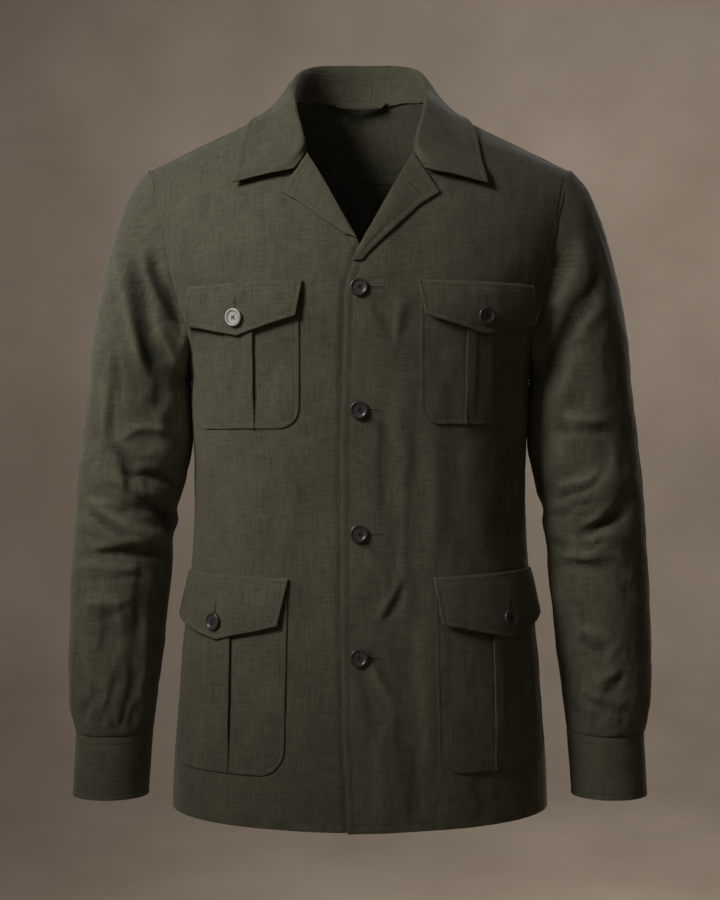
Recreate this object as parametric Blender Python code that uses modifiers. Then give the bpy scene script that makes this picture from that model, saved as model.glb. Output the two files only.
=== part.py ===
# Safari jacket: unlined linen, filled out with no wearer, hollow and open at neck, hem and cuffs.
# Metres, +Z up. The front faces -Y and the wearer's left side is +X.
# The origin is where the shoulders carry it: the middle of the shoulder line, at the foot of the neck.

import math
from collections import namedtuple

import bmesh
import bpy
import numpy as np
from mathutils import Matrix, Vector

# ------------------------------------------------------------------ driving sizes
CLOTH = 0.0016              # one layer of linen with the turnings behind it
SEAM_GAP = 0.0003           # between two pieces that are sewn edge to edge
YOKE_GAP = 0.0008           # under the yoke's back seam, which is a felled one
LAY_GAP = 0.0009            # between a panel and the lapel that lies on it
POCKET_GAP = 0.0012         # between a front and its pocket, which crosses the curve to the side
SLEEVE_GAP = 0.0012         # between the armhole and the head of the sleeve
UNDERARM_HEIGHT = -0.245
SHOULDER_SLOPE = 0.48
NECK_HALF_WIDTH = 0.0703
NECK_BACK_DEPTH = 0.095
NECK_SHOULDER_HEIGHT = 0.0226
FRONT_NECK_RISE = 0.015     # guide over the open neck for the fronts
BACK_NECK_RISE = 0.045      # guide over the open neck for the back, which stands higher
YOKE_BACK_HEIGHT = -0.043   # yoke seam at the centre back
YOKE_BACK_BOW = 0.050       # how far the yoke seam drops at the armhole
YOKE_CORNER = 0.2095        # where the yoke seam meets the armhole
OVERLAP_LIFT = 0.0025       # the left front lies this far over the right front
OVERLAP_FADE_START = 0.026  # and comes back to the body between these two distances across
OVERLAP_FADE_END = 0.060
BUTTON_DIAMETER = 0.018
BUTTON_THICKNESS = 0.0032
BUTTON_GAP = 0.0005         # between a button and the cloth that it is sewn to
PLEAT_LIFT = 0.0026         # how far a pocket's box pleat stands proud
PLEAT_STEP = 0.0018         # girth over which its folded edge drops to the pocket

OLIVE = (0.050, 0.048, 0.036, 1.0)
HORN = (0.020, 0.015, 0.014, 1.0)
PALE_HORN = (0.45, 0.45, 0.44, 1.0)

# Body sections from hem to neck. Above the underarm the half width is where the curve would close.
Section = namedtuple("Section", "height half_width front back")
BODY = [
    Section(-0.709, 0.1955, 0.134, 0.131),
    Section(-0.660, 0.1935, 0.136, 0.132),
    Section(-0.600, 0.1890, 0.134, 0.130),
    Section(-0.540, 0.1840, 0.131, 0.127),
    Section(-0.480, 0.1775, 0.127, 0.122),
    Section(-0.420, 0.1735, 0.123, 0.118),
    Section(-0.360, 0.1730, 0.123, 0.117),
    Section(-0.300, 0.1760, 0.126, 0.119),
    Section(-0.245, 0.1800, 0.129, 0.122),
    Section(-0.218, 0.1910, 0.131, 0.124),
    Section(-0.165, 0.2140, 0.1325, 0.125),
    Section(-0.105, 0.2345, 0.1305, 0.123),
    Section(-0.050, 0.2500, 0.1250, 0.120),
    Section(0.040, 0.2500, 0.1180, 0.118),
]
FRONT_COLUMNS = 12
BACK_COLUMNS = 11
PLAN_POWER = 2.4            # squareness of a section across the body
DEPTH_POWER = 2.2           # squareness of a section front to back

# Where each face starts to round over to the shoulder, and how squarely it does so.
Rounding = namedtuple("Rounding", "start power")
ROUNDING = {"front": Rounding(-0.220, 1.9), "back": Rounding(-0.120, 2.6)}

# Armhole: distance in front of and behind the shoulder plane, by height.
Armhole = namedtuple("Armhole", "height front back")
ARMHOLE = [
    Armhole(-0.245, 0.000, 0.000),
    Armhole(-0.241, 0.030, 0.019),
    Armhole(-0.232, 0.047, 0.029),
    Armhole(-0.218, 0.058, 0.038),
    Armhole(-0.195, 0.062, 0.046),
    Armhole(-0.165, 0.065, 0.056),
    Armhole(-0.135, 0.062, 0.060),
    Armhole(-0.105, 0.054, 0.064),
    Armhole(-0.093, 0.048, 0.062),
    Armhole(-0.080, 0.041, 0.059),
    Armhole(-0.063, 0.027, 0.046),
    Armhole(-0.056, 0.017, 0.035),
]

# Front panel rows: where each row starts at the front edge, lapel roll or neck, and ends at the
# side seam (outer height at or under the underarm) or the armhole.
FrontRow = namedtuple("FrontRow", "inner_x inner_height outer_height")
FRONT_ROWS = [
    FrontRow(-0.0120, -0.7135, -0.7090),
    FrontRow(-0.0130, -0.6880, -0.6860),
    FrontRow(-0.0150, -0.6500, -0.6500),
    FrontRow(-0.0165, -0.6150, -0.6150),
    FrontRow(-0.0170, -0.5800, -0.5800),
    FrontRow(-0.0175, -0.5450, -0.5450),
    FrontRow(-0.0180, -0.5100, -0.5100),
    FrontRow(-0.0182, -0.4750, -0.4750),
    FrontRow(-0.0184, -0.4400, -0.4400),
    FrontRow(-0.0185, -0.4050, -0.4050),
    FrontRow(-0.0185, -0.3700, -0.3700),
    FrontRow(-0.0182, -0.3350, -0.3350),
    FrontRow(-0.0175, -0.3000, -0.3000),
    FrontRow(-0.0167, -0.2700, -0.2700),
    FrontRow(-0.0160, -0.2450, -0.2450),
    FrontRow(-0.0155, -0.2230, -0.2410),
    FrontRow(-0.0150, -0.2010, -0.2320),
    FrontRow(-0.0140, -0.1830, -0.2180),
    FrontRow(-0.0080, -0.1640, -0.1950),
    FrontRow(-0.0010, -0.1430, -0.1650),
    FrontRow(0.0140, -0.1150, -0.1350),
    FrontRow(0.0300, -0.0850, -0.1050),
    FrontRow(0.0430, -0.0610, -0.0800),
    FrontRow(0.0541, -0.0405, -0.0630),
    FrontRow(0.0640, -0.0100, -0.0560),
]
SHOULDER_SEAM_DROP_NECK = 0.0020      # the shoulder seam lies this far under the ridge at the neck
SHOULDER_SEAM_DROP_ARM = 0.0010       # and this far at the armhole
SHOULDER_POINT = 0.2222

# Back panel rows: the bow is the power of the curve that a row follows from centre to armhole.
BackRow = namedtuple("BackRow", "inner_height outer_height bow")
BACK_ROWS = [
    BackRow(-0.709, -0.709, 1.0),
    BackRow(-0.660, -0.660, 1.0),
    BackRow(-0.610, -0.610, 1.0),
    BackRow(-0.560, -0.560, 1.0),
    BackRow(-0.510, -0.510, 1.0),
    BackRow(-0.460, -0.460, 1.0),
    BackRow(-0.410, -0.410, 1.0),
    BackRow(-0.360, -0.360, 1.0),
    BackRow(-0.310, -0.310, 1.0),
    BackRow(-0.275, -0.275, 1.0),
    BackRow(-0.245, -0.245, 1.0),
    BackRow(-0.222, -0.241, 1.2),
    BackRow(-0.198, -0.232, 1.4),
    BackRow(-0.172, -0.218, 1.6),
    BackRow(-0.140, -0.195, 1.8),
    BackRow(-0.105, -0.165, 2.0),
    BackRow(-0.073, -0.135, 2.0),
    BackRow(-0.052, -0.105, 2.0),
]

# Long soft folds of the body, as troughs (negative) and ridges across a slanting line.
BodyFold = namedtuple("BodyFold", "face x_top x_bottom top bottom width depth")
BODY_FOLDS = [
    BodyFold("front", 0.034, 0.040, -0.33, -0.62, 0.016, -0.0030),
    BodyFold("front", 0.060, 0.070, -0.24, -0.46, 0.016, 0.0024),
    BodyFold("front", -0.040, -0.047, -0.33, -0.60, 0.016, -0.0028),
    BodyFold("front", -0.068, -0.062, -0.44, -0.68, 0.018, 0.0024),
    BodyFold("front", 0.150, 0.168, -0.16, -0.30, 0.012, -0.0030),
    BodyFold("front", -0.150, -0.168, -0.16, -0.30, 0.012, -0.0030),
    BodyFold("back", 0.060, 0.072, -0.34, -0.68, 0.024, -0.0040),
    BodyFold("back", -0.055, -0.068, -0.36, -0.68, 0.024, -0.0040),
    BodyFold("back", 0.120, 0.105, -0.10, -0.34, 0.018, -0.0036),
    BodyFold("back", -0.122, -0.104, -0.10, -0.32, 0.018, -0.0036),
]

# Sleeve rings below the armhole, for either arm: distances of the inner and outer side from the
# middle of the body, half depth front to back, and how far the middle of the ring sits forward.
Ring = namedtuple("Ring", "height inner outer half_depth forward")
SLEEVE = [
    Ring(-0.272, 0.1815, 0.2830, 0.066, 0.004),
    Ring(-0.300, 0.1800, 0.2865, 0.064, 0.005),
    Ring(-0.336, 0.1790, 0.2905, 0.060, 0.006),
    Ring(-0.360, 0.1810, 0.2935, 0.059, 0.008),
    Ring(-0.400, 0.1868, 0.2955, 0.057, 0.011),
    Ring(-0.446, 0.1935, 0.2985, 0.055, 0.013),
    Ring(-0.509, 0.2005, 0.3010, 0.052, 0.016),
    Ring(-0.556, 0.2050, 0.3020, 0.049, 0.018),
    Ring(-0.600, 0.2115, 0.3000, 0.045, 0.020),
    Ring(-0.6304, 0.2146, 0.2950, 0.042, 0.021),
]
CUFF = [
    Ring(-0.6965, 0.2190, 0.2970, 0.0395, 0.023),
    Ring(-0.6308, 0.2145, 0.2940, 0.0400, 0.021),
]
SLEEVE_RING_HEIGHTS = [
    -0.290, -0.312, -0.334, -0.356, -0.372, -0.388, -0.402, -0.416, -0.430, -0.444,
    -0.460, -0.478, -0.500, -0.525, -0.552, -0.580, -0.606, -0.6304,
]
CAP_RINGS = 6               # rings from the armhole to the first ring of the table
CAP_PULL = 0.50             # how strongly the sleeve head stands out from the armhole
CAP_DROP = 0.75             # how straight it comes down into the first ring
CAP_ACROSS_TOP = 0.85       # how far it leaves the armhole sideways at the top
CAP_ACROSS_UNDER = 0.08     # and under the arm
CAP_LEVEL = 0.45            # how much less it drops at the top than under the arm
CUFF_GATHER = 0.0016        # waves of the sleeve where it is gathered into the cuff
CUFF_WAVES = 6
CUFF_CLOTH = 0.0024         # a cuff is two layers
GATHER_START = -0.620       # the gathers are full up to here and gone at the next height
GATHER_END = -0.575

# Sleeve folds: round the arm, 0 is the outer side, 90 the front, 180 the inner side, 270 the back.
# The slant is the rise in height over one radian.
SleeveFold = namedtuple("SleeveFold", "height angle spread width depth slant")
LEFT_SLEEVE_FOLDS = [
    SleeveFold(-0.372, 120, 45, 0.010, -0.0040, -0.028),
    SleeveFold(-0.392, 100, 48, 0.009, 0.0034, -0.020),
    SleeveFold(-0.411, 82, 50, 0.010, -0.0044, -0.036),
    SleeveFold(-0.440, 95, 55, 0.011, 0.0036, -0.022),
    SleeveFold(-0.458, 130, 42, 0.011, -0.0036, 0.004),
    SleeveFold(-0.300, 110, 34, 0.013, -0.0040, -0.060),
    SleeveFold(-0.402, 200, 46, 0.011, -0.0044, 0.006),
    SleeveFold(-0.430, 210, 44, 0.011, -0.0036, 0.016),
    SleeveFold(-0.540, 120, 46, 0.014, -0.0034, 0.030),
    SleeveFold(-0.600, 70, 40, 0.012, 0.0026, -0.018),
    SleeveFold(-0.380, 300, 50, 0.013, -0.0030, 0.020),
    SleeveFold(-0.450, 290, 44, 0.013, 0.0030, -0.016),
]
RIGHT_SLEEVE_FOLDS = [
    SleeveFold(-0.365, 112, 44, 0.010, -0.0042, -0.030),
    SleeveFold(-0.385, 92, 46, 0.009, 0.0032, -0.024),
    SleeveFold(-0.405, 105, 52, 0.010, -0.0044, -0.018),
    SleeveFold(-0.428, 84, 50, 0.010, 0.0036, -0.010),
    SleeveFold(-0.447, 118, 48, 0.011, -0.0040, 0.006),
    SleeveFold(-0.290, 120, 32, 0.014, -0.0042, -0.070),
    SleeveFold(-0.398, 204, 46, 0.011, -0.0044, 0.004),
    SleeveFold(-0.432, 196, 46, 0.011, -0.0038, 0.014),
    SleeveFold(-0.530, 104, 44, 0.014, -0.0032, 0.034),
    SleeveFold(-0.592, 128, 42, 0.012, 0.0026, 0.020),
    SleeveFold(-0.372, 296, 50, 0.013, -0.0030, 0.018),
    SleeveFold(-0.444, 284, 44, 0.013, 0.0030, -0.020),
]

# Collar rails for the wearer's left half, from the centre back to the front point: the neck seam,
# the fold at the top, and the free outer edge. A lift in place of y rests a point on the front.
CollarStation = namedtuple("CollarStation", "neck fold edge")
COLLAR = [
    CollarStation((0.0000, 0.0930, 0.0411), (0.0000, 0.0965, 0.0830), (0.0000, 0.1090, 0.0120)),
    CollarStation((0.0285, 0.0848, 0.0392), (0.0340, 0.0890, 0.0815), (0.0460, 0.1010, 0.0090)),
    CollarStation((0.0490, 0.0655, 0.0382), (0.0560, 0.0700, 0.0745), (0.0800, 0.0750, 0.0030)),
    CollarStation((0.0612, 0.0400, 0.0324), (0.0670, 0.0400, 0.0590), (0.0990, 0.0400, 0.0060)),
    CollarStation((0.0672, 0.0040, 0.0245), (0.0700, 0.0050, 0.0370), (0.1085, 0.0000, 0.0045)),
    CollarStation((0.0668, -0.0310, 0.0130), (0.0685, -0.0330, 0.0210), (0.1150, -0.0330, -0.0170)),
    CollarStation((0.0628, -0.0560, -0.0070), (0.0640, -0.0600, -0.0020), (0.1200, -0.0580, -0.0400)),
    CollarStation((0.0550, -0.0830, -0.0400), (0.0580, -0.0870, -0.0375), (0.1245, -0.0800, -0.0600)),
    CollarStation((0.0660, -0.0985, -0.0625), (0.0820, -0.0980, -0.0660), (0.1275, -0.0900, -0.0757)),
]
COLLAR_CLEARANCE = 0.0014   # to the shoulders and the fronts
COLLAR_LOW_STATION = 7.2    # past this station the stand lies on the fronts too
COLLAR_FOLD_REACH = 0.020   # how roundly the collar turns over where its stand is high
COLLAR_STEPS = 2            # columns between two stations
STAND_ROWS = 4
FALL_ROWS = 5

# Lapels: the roll line's ends are on the front row table; these are the free edge's points.
LapelPoint = namedtuple("LapelPoint", "roll_x roll_height edge_x edge_height")
LEFT_LAPEL = [
    LapelPoint(0.0520, -0.0470, 0.0785, -0.0868),
    LapelPoint(0.0420, -0.0640, 0.0600, -0.0990),
    LapelPoint(0.0300, -0.0860, 0.0420, -0.1160),
    LapelPoint(0.0180, -0.1090, 0.0240, -0.1330),
    LapelPoint(0.0060, -0.1310, 0.0080, -0.1490),
    LapelPoint(-0.0030, -0.1490, -0.0010, -0.1600),
]
RIGHT_LAPEL = [
    LapelPoint(0.0520, -0.0470, 0.0775, -0.0868),
    LapelPoint(0.0430, -0.0620, 0.0620, -0.0960),
    LapelPoint(0.0320, -0.0820, 0.0460, -0.1080),
    LapelPoint(0.0220, -0.1010, 0.0310, -0.1190),
    LapelPoint(0.0140, -0.1160, 0.0180, -0.1280),
    LapelPoint(0.0080, -0.1275, 0.0095, -0.1335),
]
LAPEL_ROWS = 10
LAPEL_COLUMNS = 4

# Pockets: girth is measured round the body from the centre front, towards the wearer's own side.
Pocket = namedtuple("Pocket", "name side centre width top bottom corner lean pleat_centre pleat")
POCKETS = [
    Pocket("pocket_chest_right", -1, 0.1258, 0.1325, -0.192, -0.3200, 0.021, 0.000, 0.1218, 0.031),
    Pocket("pocket_chest_left", 1, 0.1262, 0.1345, -0.192, -0.3160, 0.021, 0.000, 0.1214, 0.031),
    Pocket("pocket_lower_right", -1, 0.1480, 0.1540, -0.484, -0.6590, 0.027, 0.003, 0.1480, 0.034),
    Pocket("pocket_lower_left", 1, 0.1500, 0.1530, -0.484, -0.6570, 0.027, 0.003, 0.1520, 0.034),
]
# Flaps: girth and height of the inner and outer top corners, the inner and outer bottom corners
# and the point between them.
Flap = namedtuple("Flap", "name side top_in top_out bottom_in bottom_out point")
FLAPS = [
    Flap("flap_chest_right", -1, (0.0556, -0.1754), (0.1800, -0.1778),
         (0.0616, -0.2105), (0.1895, -0.2137), (0.1215, -0.2276)),
    Flap("flap_chest_left", 1, (0.0556, -0.1751), (0.1836, -0.1760),
         (0.0627, -0.2091), (0.1895, -0.2128), (0.1237, -0.2265)),
    Flap("flap_lower_right", -1, (0.0699, -0.4668), (0.2150, -0.4636),
         (0.0790, -0.5136), (0.2270, -0.5120), (0.1465, -0.5294)),
    Flap("flap_lower_left", 1, (0.0716, -0.4655), (0.2160, -0.4610),
         (0.0791, -0.5122), (0.2300, -0.5100), (0.1535, -0.5285)),
]
POCKET_ROWS = 9
FLAP_COLUMNS = 8
PLEAT_FADE = 0.78           # above this share of the pocket's height its pleat is pressed flat
# Flap rows from the free edge up to the seam: share of the height, and lift off the front. The
# seam lies on the front above the pocket, and the free edge stands off over the pleat.
FlapRow = namedtuple("FlapRow", "up lift")
FLAP_ROWS = [
    FlapRow(0.00, 0.0078),
    FlapRow(0.28, 0.0065),
    FlapRow(0.56, 0.0049),
    FlapRow(0.80, 0.0035),
    FlapRow(1.00, 0.0010),
]

# Front buttons: places on the centre line and the heights of the four.
FRONT_BUTTON_X = -0.0010
FRONT_BUTTON_HEIGHTS = [-0.1830, -0.3020, -0.4230, -0.5430]
# Pocket buttons: girth and height on the flap.
FlapButton = namedtuple("FlapButton", "name flap girth height")
FLAP_BUTTONS = [
    FlapButton("button_chest_right", "flap_chest_right", 0.1228, -0.2101),
    FlapButton("button_chest_left", "flap_chest_left", 0.1235, -0.2083),
    FlapButton("button_lower_right", "flap_lower_right", 0.1482, -0.5117),
    FlapButton("button_lower_left", "flap_lower_left", 0.1536, -0.5091),
]
BUTTON_STEPS = 14

# Hanger loop: a short tape sewn inside the back of the neck.
LOOP_HALF_WIDTH = 0.0300
LOOP_TAPE = 0.0050
LOOP_SAG = 0.0028
LOOP_HEIGHT = 0.0400
LOOP_DEPTH = 0.0880         # behind the shoulder plane at its middle
LOOP_BEND = 9.5             # how far it follows the neck round, per metre
LOOP_THICKNESS = 0.0012


# ------------------------------------------------------------------ shape of the body
def hermite(start, start_pull, end, end_pull, t):
    """Point at t on the smooth curve from start to end with the given pulls."""
    return (
        start * (2 * t**3 - 3 * t**2 + 1)
        + start_pull * (t**3 - 2 * t**2 + t)
        + end * (3 * t**2 - 2 * t**3)
        + end_pull * (t**3 - t**2)
    )


def read(table, column, height):
    """Smoothly read one column of a table whose rows rise in height."""
    rows = sorted(table, key=lambda row: row.height)
    keys = [row.height for row in rows]
    values = [getattr(row, column) for row in rows]
    slopes = np.gradient(values, keys)
    at = min(max(height, keys[0]), keys[-1])
    low = min(max(int(np.searchsorted(keys, at)) - 1, 0), len(keys) - 2)
    span = keys[low + 1] - keys[low]
    t = (at - keys[low]) / span
    return float(hermite(values[low], slopes[low] * span, values[low + 1], slopes[low + 1] * span, t))


def smooth_step(low, high, value):
    t = min(max((value - low) / (high - low), 0.0), 1.0)
    return t * t * (3 - 2 * t)


def ridge(x, face="front"):
    """Height of the shoulder ridge, carried on over the neck opening as a guide."""
    inside = max(1 - abs(x) / 0.07, 0.0)
    rise = FRONT_NECK_RISE * inside**2 if face == "front" else BACK_NECK_RISE * inside * (2 - inside)
    return NECK_SHOULDER_HEIGHT - SHOULDER_SLOPE * (abs(x) - 0.07) + rise


def body_folds(x, height, face):
    """Sum of the long folds that reach this place."""
    total = 0.0
    for fold in BODY_FOLDS:
        if fold.face != face:
            continue
        along = (height - fold.top) / (fold.bottom - fold.top)
        if not 0.0 < along < 1.0:
            continue
        middle = fold.x_top + (fold.x_bottom - fold.x_top) * along
        across = (x - middle) / fold.width
        total += fold.depth * math.sin(math.pi * along) * math.exp(-across * across)
    return total


def body_depth(x, height, face):
    """Distance of the body's front or back from the shoulder plane."""
    half_width = read(BODY, "half_width", height)
    full = read(BODY, face, height)
    across = min(abs(x) / half_width, 1.0)
    plan = (1 - across**PLAN_POWER) ** (1 / DEPTH_POWER)
    rounding = ROUNDING[face]
    rise = (height - rounding.start) / (ridge(x, face) - rounding.start)
    rise = min(max(rise, 0.0), 1.0)
    over = (1 - rise**rounding.power) ** (1 / rounding.power)
    return (full * plan + body_folds(x, height, face) * plan) * over


def body_reach(depth, height, face):
    """How far across the body lies the place at this depth and height: the other way round."""
    half_width = read(BODY, "half_width", height)
    full = read(BODY, face, height)
    rounding = ROUNDING[face]
    x = half_width
    for _ in range(12):
        rise = min(max((height - rounding.start) / (ridge(x, face) - rounding.start), 0.0), 0.9999)
        over = (1 - rise**rounding.power) ** (1 / rounding.power)
        share = min(depth / (full * over), 1.0)
        target = half_width * (1 - share**DEPTH_POWER) ** (1 / PLAN_POWER)
        x += 0.5 * (target - x)
    return x


def girth_place(girth, height, face):
    """Distance across the body at a girth measured round it from the centre line."""
    half_width = read(BODY, "half_width", height)
    full = read(BODY, face, height)
    turn = np.linspace(0, math.pi / 2, 60)
    x = half_width * np.sin(turn) ** (2 / PLAN_POWER)
    y = full * np.cos(turn) ** (2 / DEPTH_POWER)
    lengths = np.concatenate([[0.0], np.cumsum(np.hypot(np.diff(x), np.diff(y)))])
    return math.copysign(float(np.interp(abs(girth), lengths, x)), girth)


def on_body(x, height, face):
    """Point of the body's surface."""
    sign = -1.0 if face == "front" else 1.0
    return Vector((x, sign * body_depth(x, height, face), height))


def armhole_points(side):
    """The armhole as a closed loop: from the ridge down the front and up the back."""
    front = []
    back = []
    for row in ARMHOLE:
        front.append(Vector((side * body_reach(row.front, row.height, "front"), -row.front, row.height)))
        back.append(Vector((side * body_reach(row.back, row.height, "back"), row.back, row.height)))
    seam_height = ridge(SHOULDER_POINT) - SHOULDER_SEAM_DROP_ARM
    seam = on_body(side * SHOULDER_POINT, seam_height, "front")
    top = Vector((side * SHOULDER_POINT, 0.0, ridge(SHOULDER_POINT)))
    return [top, seam] + list(reversed(front)) + back[1:]


def armhole_at(height, side, face):
    """The armhole's own point at one of the heights in its table."""
    for row in ARMHOLE:
        if abs(row.height - height) < 1e-6:
            depth = row.front if face == "front" else row.back
            sign = -1.0 if face == "front" else 1.0
            return Vector((side * body_reach(depth, height, face), sign * depth, height))
    raise ValueError(height)


# ------------------------------------------------------------------ making pieces
def make_material(name, colour, roughness):
    material = bpy.data.materials.new(name)
    material.use_nodes = True
    shader = material.node_tree.nodes["Principled BSDF"]
    shader.inputs["Base Color"].default_value = colour
    shader.inputs["Roughness"].default_value = roughness
    shader.inputs["Metallic"].default_value = 0.0
    return material


def finish_piece(name, mesh, colour, roughness, thickness, offset):
    """Put the mesh in the scene as one piece of cloth with its wall."""
    mesh.shade_smooth()
    piece = bpy.data.objects.new(name, mesh)
    jacket.objects.link(piece)
    piece.data.materials.append(make_material(name, colour, roughness))
    if thickness:
        wall = piece.modifiers.new("wall", "SOLIDIFY")
        wall.thickness = thickness
        wall.offset = offset
        wall.use_even_offset = False
    return piece


def sheet(name, columns, rows, place, lift=None, wrap=False, thickness=CLOTH, offset=-1.0, colour=OLIVE):
    """A grid laid on the shape that place(u, w) gives, lifted off it along its own normals."""
    grid = bmesh.new()
    bmesh.ops.create_grid(grid, x_segments=columns, y_segments=rows, size=1.0)
    spots = [((v.co.x + 1) / 2, (v.co.y + 1) / 2) for v in grid.verts]
    for vertex, (u, w) in zip(grid.verts, spots):
        vertex.co = place(u, w)
    if lift is not None:
        grid.normal_update()
        moves = [vertex.normal * lift(u, w) for vertex, (u, w) in zip(grid.verts, spots)]
        for vertex, move in zip(grid.verts, moves):
            vertex.co += move
    if wrap:
        bmesh.ops.remove_doubles(grid, verts=grid.verts, dist=0.00001)
    mesh = bpy.data.meshes.new(name)
    grid.to_mesh(mesh)
    grid.free()
    return finish_piece(name, mesh, colour, 0.85, thickness, offset)


# ------------------------------------------------------------------ fronts and backs
def front_place(side, overlap):
    """Surface of one front: from its free edge or roll line to the side seam and armhole."""
    seam_in = ridge(NECK_HALF_WIDTH) - SHOULDER_SEAM_DROP_NECK
    seam_out = ridge(SHOULDER_POINT) - SHOULDER_SEAM_DROP_ARM
    last = len(FRONT_ROWS)

    def place(u, w):
        across = u if side > 0 else 1 - u
        index = min(int(round(w * last)), last)
        if index == last:
            row = FrontRow(NECK_HALF_WIDTH, seam_in - SEAM_GAP, None)
            end = Vector((SHOULDER_POINT, 0.0, seam_out - SEAM_GAP))
        else:
            row = FRONT_ROWS[index]
            if row.outer_height <= UNDERARM_HEIGHT:
                end = Vector((read(BODY, "half_width", row.outer_height), 0.0, row.outer_height))
            else:
                end = armhole_at(row.outer_height, 1, "front")
        start_x = row.inner_x
        start_turn = plan_turn(start_x, row.inner_height)
        end_turn = plan_turn(end.x, end.z)
        turn = start_turn + (end_turn - start_turn) * across
        guess = row.inner_height + (end.z - row.inner_height) * across
        x = plan_x(turn, guess)
        x = min(max(x, start_x), end.x)
        share = (x - start_x) / (end.x - start_x)
        if across == 1.0:
            x, share = end.x, 1.0
        height = row.inner_height + (end.z - row.inner_height) * share
        point = on_body(x * side, height, "front")
        if across == 1.0 and row.outer_height is not None and row.outer_height <= UNDERARM_HEIGHT:
            point.y = -SEAM_GAP / 2
        point.y -= overlap * (1 - smooth_step(OVERLAP_FADE_START, OVERLAP_FADE_END, x))
        return point

    return place


def plan_turn(x, height):
    """Angle that stands for a place across a section."""
    share = min(abs(x) / read(BODY, "half_width", height), 1.0)
    return math.copysign(math.asin(share ** (PLAN_POWER / 2)), x)


def plan_x(turn, height):
    reach = abs(math.sin(turn)) ** (2 / PLAN_POWER)
    return math.copysign(read(BODY, "half_width", height) * reach, turn)


def make_fronts():
    sheet("front_left", FRONT_COLUMNS, len(FRONT_ROWS), front_place(1, OVERLAP_LIFT))
    sheet("front_right", FRONT_COLUMNS, len(FRONT_ROWS), front_place(-1, 0.0))


def yoke_seam(x):
    return YOKE_BACK_HEIGHT - YOKE_BACK_BOW * (abs(x) / YOKE_CORNER) ** 2


def back_place(side):
    """Surface of one half of the back, from the centre seam to the side seam and armhole."""
    last = len(BACK_ROWS)

    def place(u, w):
        across = 1 - u if side > 0 else u
        index = min(int(round(w * last)), last)
        if index == last:
            start_height, bow = yoke_seam(0) - YOKE_GAP, 2.0
            end = Vector((YOKE_CORNER, 0.0, yoke_seam(YOKE_CORNER) - YOKE_GAP))
        else:
            row = BACK_ROWS[index]
            start_height, bow = row.inner_height, row.bow
            if row.outer_height <= UNDERARM_HEIGHT:
                end = Vector((read(BODY, "half_width", row.outer_height), 0.0, row.outer_height))
            else:
                end = armhole_at(row.outer_height, 1, "back")
        start_x = SEAM_GAP / 2
        turn = plan_turn(start_x, start_height)
        turn += (plan_turn(end.x, end.z) - turn) * across
        guess = start_height + (end.z - start_height) * across
        x = min(max(plan_x(turn, guess), start_x), end.x)
        share = (x - start_x) / (end.x - start_x)
        if across == 1.0:
            x, share = end.x, 1.0
        height = start_height + (end.z - start_height) * share**bow
        point = on_body(x * side, height, "back")
        if across == 1.0 and end.z <= UNDERARM_HEIGHT:
            point.y = SEAM_GAP / 2
        return point

    return place


def make_backs():
    sheet("back_left", BACK_COLUMNS, len(BACK_ROWS), back_place(1))
    sheet("back_right", BACK_COLUMNS, len(BACK_ROWS), back_place(-1))


# ------------------------------------------------------------------ yoke
def over_angle(x, y):
    """Angle over the shoulder of a place given by x and y: 0 on the ridge, positive behind."""
    face = "front" if y < 0 else "back"
    rounding = ROUNDING[face]
    top = ridge(x, face)
    share = min(abs(x) / read(BODY, "half_width", top), 1.0)
    full = read(BODY, face, top) * (1 - share**PLAN_POWER) ** (1 / DEPTH_POWER)
    turn = math.asin(min(abs(y) / full, 1.0) ** (rounding.power / 2))
    return math.copysign(turn, y)


def height_angle(x, height, face):
    rounding = ROUNDING[face]
    rise = min((height - rounding.start) / (ridge(x, face) - rounding.start), 1.0)
    turn = math.acos(max(rise, 0.0) ** (rounding.power / 2))
    return turn if face == "back" else -turn


def over_place(x, angle):
    """Point of the shoulders from a place across and an angle over the ridge."""
    face = "front" if angle < 0 else "back"
    rounding = ROUNDING[face]
    rise = math.cos(angle) ** (2 / rounding.power)
    height = rounding.start + (ridge(x, face) - rounding.start) * rise
    return on_body(x, height, face)


def yoke_rim():
    """Outer edge of the yoke's left half as (x, angle): shoulder seam, armhole, then back seam."""
    seam_height = ridge(SHOULDER_POINT) - SHOULDER_SEAM_DROP_ARM
    rim = [
        (SHOULDER_POINT, height_angle(SHOULDER_POINT, seam_height, "front")),
        (SHOULDER_POINT, 0.0),
    ]
    for height in (-0.056, -0.063, -0.080):
        point = armhole_at(height, 1, "back")
        rim.append((point.x, height_angle(point.x, height, "back")))
    back = back_place(1)
    for column in range(BACK_COLUMNS):
        x = back(column / BACK_COLUMNS, 1.0).x
        rim.append((x, height_angle(x, yoke_seam(x), "back")))
    rim.append((0.0, height_angle(0.0, yoke_seam(0.0), "back")))
    return rim


def make_yoke():
    rim = yoke_rim()
    half = len(rim) - 1
    front_angle = height_angle(NECK_HALF_WIDTH, ridge(NECK_HALF_WIDTH) - SHOULDER_SEAM_DROP_NECK, "front")
    neck = [(NECK_HALF_WIDTH, front_angle), (NECK_HALF_WIDTH, 0.0)]
    for step in range(1, half):
        turn = math.pi / 2 * (1 - step / (half - 1))
        x = NECK_HALF_WIDTH * math.sin(turn)
        neck.append((x, over_angle(x, NECK_BACK_DEPTH * math.cos(turn))))

    def place(u, w):
        index = int(round((1 - u) * 2 * half))
        side = 1 if index <= half else -1
        index = index if index <= half else 2 * half - index
        x = neck[index][0] + (rim[index][0] - neck[index][0]) * w
        angle = neck[index][1] + (rim[index][1] - neck[index][1]) * w
        point = over_place(x, angle)
        point.x *= side
        return point

    sheet("back_yoke", 2 * half, 6, place)


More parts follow.
